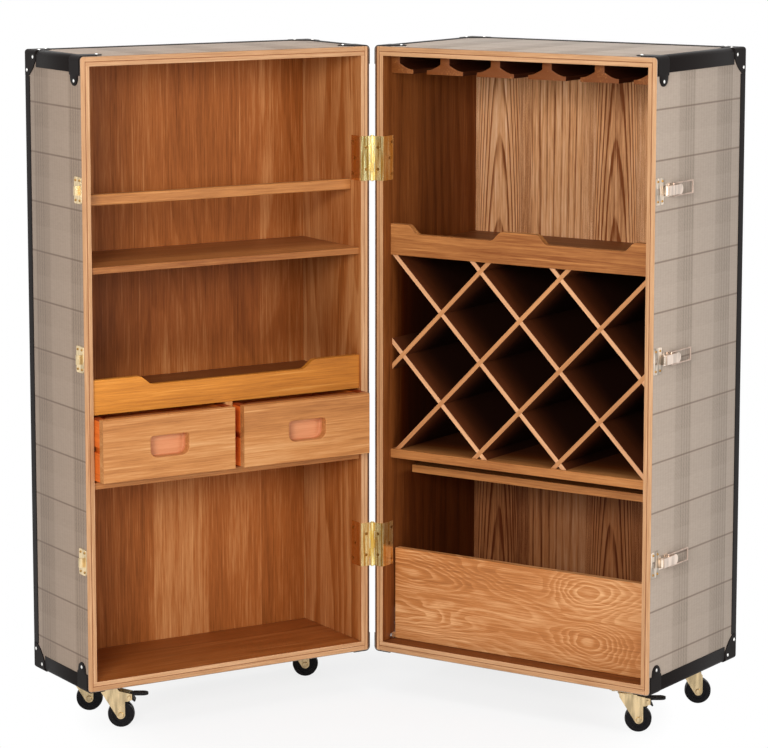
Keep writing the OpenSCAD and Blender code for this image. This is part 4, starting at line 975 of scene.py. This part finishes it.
def edging_finish():
    """Nearly black, with a fine grain and wide smears in its colour and gloss."""
    f = Finish("black_edging", Specular_IOR_Level=0.05)
    p = f.object_place()
    grain = f.noise(p, (420, 420, 420), detail=3.0, rough=0.6)
    smear = f.noise(p, (9, 9, 9))
    f.set(Base_Color=f.mix(paint(12, 9, 8), paint(30, 23, 21), grain * 0.5 + smear * 0.5),
          Roughness=grain * 0.2 + smear * 0.1 + 0.28)
    f.bump(grain, 0.0003, 0.35)
    return f.material


black = edging_finish()
cap_points, cap_faces = rear_cap()
for half, p in strips.items():
    for far, top, sx, sz in CORNERS:
        moved = cap_points * [sx, 1, sz] + [CASE_W * far, DEPTH[half], CASE_H * top]
        p.put(moved, cap_faces, far == top)
    p.make(f"{half}_black_edging", black, "black_edging", [f"{half}_edging"], smooth=35, weld=2e-5)

# %% [markdown]
# ## Rivets
# Bright domed rivets hold the caps. A dome is a profile turned about its axis: a
# low brim, then height h sqrt(1 - (r / R)^2) over it.

# %% Rivet positions and domes
RIVET_AXES = {"s": "dzs", "d": "zsd", "z": "sdz"}
TIP_RIVET, BASE_RIVET, REAR_RIVETS = 44, 17, ((36, 11), (11, 36))


def chrome_finish(name, colour, rough, deep=0.9, cell=35.0):
    """Bright metal with faint smears and rub marks in its gloss. deep is how bright
    its dull streaks are, which are painted dark reflections and shade and run upright,
    cell of them to a metre."""
    f = Finish(name, Metallic=1.0)
    p = f.object_place()
    painted_reflection_patch = f.noise(p, (cell, cell, cell * 0.2), detail=1.5).ramp(0.3, 0.68)
    smear = f.noise(p, (35, 35, 35), detail=3.0)
    rub = f.noise(p, (900, 900, 140))
    f.set(Base_Color=f.tint(paint(*colour), painted_reflection_patch * (1.06 - deep) + deep),
          Roughness=smear * 0.1 + rub * 0.08 + rough)
    f.bump(rub, 0.00006, 0.25)
    return f.material


def rivet_rings():
    """Rings from the rim to near the top: radius and height of the brim and dome."""
    t = np.radians([0, 30, 55, 75, 86])[:, None]
    r = np.concatenate([[[3.2], [3.2], [2.9]], 2.6 * np.cos(t)])
    h = np.concatenate([[[-0.1], [0.25], [0.35]], 0.35 + 1.15 * np.sin(t)])
    a = np.linspace(0, 2 * np.pi, 20, endpoint=False)
    return columns(r * np.cos(a), r * np.sin(a), h)


def add_rivet(piece, centre, axis, sign=1):
    """Turns the dome so that it points along one of the case's axes, or against it."""
    piece.add(rivet_rings()[:, ::sign] * [1, 1, sign], RIVET_AXES[axis], at=centre)


bright = chrome_finish("bright_rivets", (238, 236, 232), 0.34)
for half, depth in DEPTH.items():
    p = Piece(half)
    for far, top, sx, sz in CORNERS:
        s, z = CASE_W * far, CASE_H * top
        side, lid = s + sx * CAP_T, z + sz * CAP_T
        add_rivet(p, (side, TONGUE_AT, z - sz * TIP_RIVET), "s", sx)
        add_rivet(p, (s - sx * (TIP_RIVET if top else BASE_RIVET), TONGUE_AT, lid), "z", sz)
        for near, away in REAR_RIVETS:
            add_rivet(p, (side, depth - near, z - sz * away), "s", sx)
            add_rivet(p, (s - sx * near, depth - away, lid), "z", sz)
            add_rivet(p, (s - sx * near, depth + CAP_T, z - sz * away), "d")
    p.make(f"{half}_rivet_domes", bright, "rivets", [f"{half}_rivets"], smooth=40)

# %% [markdown]
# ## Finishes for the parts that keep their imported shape
# The slats, hinges, latches and casters are exact already, so they only get
# materials. The slats lean at 45 degrees; a Mapping node turns the wood's
# coordinates so that its grain runs along them.

# %% Slats
SLAT_FRONT = 32.4
SLAT_EDGE = float(HINGE[1]) + (FRONT_GAP + SLAT_FRONT) * MM


def slat_wood(name, lean, edge_dark, edge_pale):
    """The front edge is pale; the faces behind it are in painted shade, darker deeper in."""
    f = Finish(name, Specular_IOR_Level=0.3)
    place_in = f.object_place()
    turned = f.node("ShaderNodeMapping", {"vector_type": "POINT"}, {
        "Vector": place_in, "Rotation": (0.0, math.radians(45 * lean), 0.0)})
    behind = f.split(place_in)[1] - SLAT_EDGE
    clouds = f.noise(turned, (2.0, 50.0, 50.0))
    fibres = f.noise(turned, (9.0, 420.0, 420.0))
    pores = f.noise(turned, (50.0, 1000.0, 1000.0), detail=1.0).ramp(0.6, 0.75)
    value = ((clouds - 0.5) * 0.9 + (fibres - 0.5) * 0.7 + 0.6 - pores * 0.12).clamped()
    # painted shade on the faces, and deeper painted shade further back
    face = f.mix(paint(66, 28, 12), paint(104, 52, 24), value)
    face = f.mix(face, paint(36, 14, 5), behind.ramp(0.0, 0.1))
    edge = f.mix(paint(*edge_dark), paint(*edge_pale), value)
    f.set(Base_Color=f.mix(edge, face, behind.ramp(0.0004, 0.0012)),
          Roughness=(fibres - 0.5) * 0.14 + 0.45)
    f.bump(fibres - pores * 0.5, 0.0003, 0.4)
    return f.material


# %% Metals and plastics


def brass_finish(half, brown):
    """Brass with upright streaks; in its colour they are painted reflections. The plates
    that fold into the case lie deeper than the front edge and get painted shade and a
    painted orange reflection of the wood, so they are browner; depth is measured as in
    cloth_uv."""
    f = Finish(f"{half}_brass", Metallic=0.8, Specular_IOR_Level=0.4)
    p = f.object_place()
    x, y = [value - float(at) for value, at in zip(f.split(p), HINGE)]
    depth = y if half == "deep" else y * COS - x * SIN
    streak = f.noise(p, (230, 230, 12)).ramp(0.36, 0.62)
    rub = f.noise(p, (900, 900, 140))
    # streak mixes painted reflections into the colour
    colour = f.mix(paint(214, 172, 78), paint(255, 244, 184), streak)
    f.set(Base_Color=f.mix(colour, paint(190, 116, 36), depth.ramp(0.0035, 0.006) * brown),
          Roughness=rub * 0.1 + streak * 0.06 + 0.14)
    f.bump(rub + streak, 0.0001, 0.3)
    return f.material


def black_plastic(name, pale, rough):
    """Black with grey dust in clouds and a finely pitted skin."""
    f = Finish(name, Specular_IOR_Level=0.16)
    p = f.object_place()
    dust = f.noise(p, (120, 120, 120), detail=3.0)
    fine = f.noise(p, (1500, 1500, 1500), detail=1.0)
    f.set(Base_Color=f.mix(paint(8, 7, 8), paint(*pale), dust), Roughness=dust * 0.18 + rough)
    f.bump(fine, 0.00008, 0.4)
    return f.material


# The second number is how much painted shade and reflection the folded plates get.
brass = brass_finish("deep", 0.5)
screw_brass = chrome_finish("screw_brass", (170, 128, 66), 0.26)
gold = chrome_finish("pale_gold_plate", (234, 208, 162), 0.2, 0.62, 130.0)
steel = chrome_finish("bright_steel", (214, 214, 212), 0.18)
latch_metals = {
    "lever": chrome_finish("rosy_nickel_levers", (234, 214, 198), 0.22, 0.72, 110.0),
    "bases": chrome_finish("rosy_nickel_bases", (246, 228, 208), 0.24, 0.36, 120.0),
    "bail": chrome_finish("rosy_nickel_wire", (196, 172, 156), 0.25, 0.8, 90.0), "catches": gold}
wheel_black = black_plastic("black_wheels", (22, 20, 22), 0.2)
pedal_black = black_plastic("black_pedals", (30, 28, 29), 0.36)

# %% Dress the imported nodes
plain = {
    "rack_slats_rising": slat_wood("rising_slats", 1, (150, 92, 50), (208, 148, 96)),
    "rack_slats_falling": slat_wood("falling_slats", -1, (184, 122, 78), (232, 180, 134)),
    "deep_hinge_leaves": brass, "hinge_pins": brass, "shallow_hinge_leaves": brass_finish("shallow", 0.9),
    "deep_screws": screw_brass, "shallow_screws": screw_brass, "flap_brackets": steel, "flap_pivots": steel,
}
for node in frame["nodes"]:
    if node.startswith("latch"):
        plain[node] = latch_metals[node.split("_")[1]]
    elif node.startswith("fork") or node.endswith("caster_plates"):
        plain[node] = gold
    elif node.startswith("wheel"):
        plain[node] = wheel_black
    elif node.startswith("brake"):
        plain[node] = pedal_black
for node, material in plain.items():
    slots = frame["nodes"][node].data.materials
    slots.clear()
    slots.append(material)
bevels = {"deep_hinge_leaves": 0.0009, "shallow_hinge_leaves": 0.0009,
          "latch_bases": 0.0004, "latch_catches": 0.0004}
for node, width in bevels.items():
    ease = frame["nodes"][node].modifiers.new("eased edges", "BEVEL")
    ease.width, ease.segments, ease.limit_method = width, 2, "ANGLE"
print("packed nodes dressed:", len(plain))

# %% [markdown]
# ## Floor, light and camera
# A pale floor catches a soft shadow and fades into white further out. The light is
# an even sky and three large soft lamps: one left of the camera, one far to its
# right and one above.

# %% Floor
FLOOR_HALF = 14.0


def floor_finish():
    """Pale grey that turns into glowing white with distance, for the rays that see it."""
    f = Finish("pale_floor", Base_Color=(0.9, 0.9, 0.9, 1), Specular_IOR_Level=0.0, Roughness=0.9)
    away = f.node("ShaderNodeVectorMath", {"operation": "LENGTH"}, [f.object_place()], out="Value")
    white = f.node("ShaderNodeEmission", {}, {"Color": WHITE, "Strength": 1.0})
    seen, mirrored = f.rays("Camera", "Glossy")
    amount = (seen + mirrored).clamped() * away.ramp(0.35, 1.1)
    blend = f.node("ShaderNodeMixShader", {}, [
        (amount + seen * 0.8).clamped(), Val(f, f.shader.outputs[0]), white])
    f.feed(f.tree.nodes["Material Output"].inputs["Surface"], blend)
    return f.material


ground = bpy.data.meshes.new("floor")
corners = np.array([[-1, -1, 0], [1, -1, 0], [1, 1, 0], [-1, 1, 0]]) * FLOOR_HALF
ground.from_pydata(corners, [], [[0, 1, 2, 3]])
ground.materials.append(floor_finish())
floor = bpy.data.objects.new("floor", ground)
bpy.context.scene.collection.objects.link(floor)
floor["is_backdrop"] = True

# %% Sky and lamps
MIDDLE = (0.0, 0.1, 0.65)
world = bpy.data.worlds.new("studio")
bpy.context.scene.world = world
world.use_nodes = True
sky = Nodes(world.node_tree)
even = sky.tree.nodes["Background"]
sky.feed(even.inputs["Color"], WHITE)
sky.feed(even.inputs["Strength"], 0.27)
card = sky.node("ShaderNodeBackground", {}, {"Color": WHITE, "Strength": 1.0})
either = sky.fold("MAXIMUM", sky.rays("Camera", "Glossy", "Transmission"))
backdrop = sky.node("ShaderNodeMixShader", {}, [either, Val(sky, even.outputs[0]), card])
sky.feed(sky.tree.nodes["World Output"].inputs["Surface"], backdrop)


def lamp(name, at, towards, size, power):
    """A square soft light that faces a point."""
    data = bpy.data.lights.new(name, "AREA")
    data.shape, data.size, data.energy = "SQUARE", size, power
    obj = bpy.data.objects.new(name, data)
    obj.location = at
    obj.rotation_euler = (Vector(towards) - Vector(at)).to_track_quat("-Z", "Y").to_euler()
    bpy.context.scene.collection.objects.link(obj)


lamp("front_light", (1.6, -4.4, 2.0), MIDDLE, 1.4, 152)
lamp("side_light", (4.6, -0.75, 1.7), MIDDLE, 1.6, 66)
lamp("top_light", (0.0, -0.1, 3.6), (0.0, 0.0, 0.0), 2.6, 52)

# %% Camera
camera = bpy.data.cameras.new("camera")
camera.lens, camera.sensor_width = 145.58, 36.0
camera.shift_x, camera.shift_y = 0.0113, -0.1
view = bpy.data.objects.new("camera", camera)
view.location = (3.1682, -4.7247, 1.6065)
view.rotation_euler = (math.pi / 2 - 0.1434, 0.0, 0.5905)
bpy.context.scene.collection.objects.link(view)
bpy.context.scene.camera = view
bpy.context.scene.view_settings.view_transform = "Standard"

low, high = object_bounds()
past = [round(1000 * max(a - b, d - c), 2) for a, b, c, d in zip(cad_low, low, cad_high, high)]
print("outside the packed box by:", past, "mm")
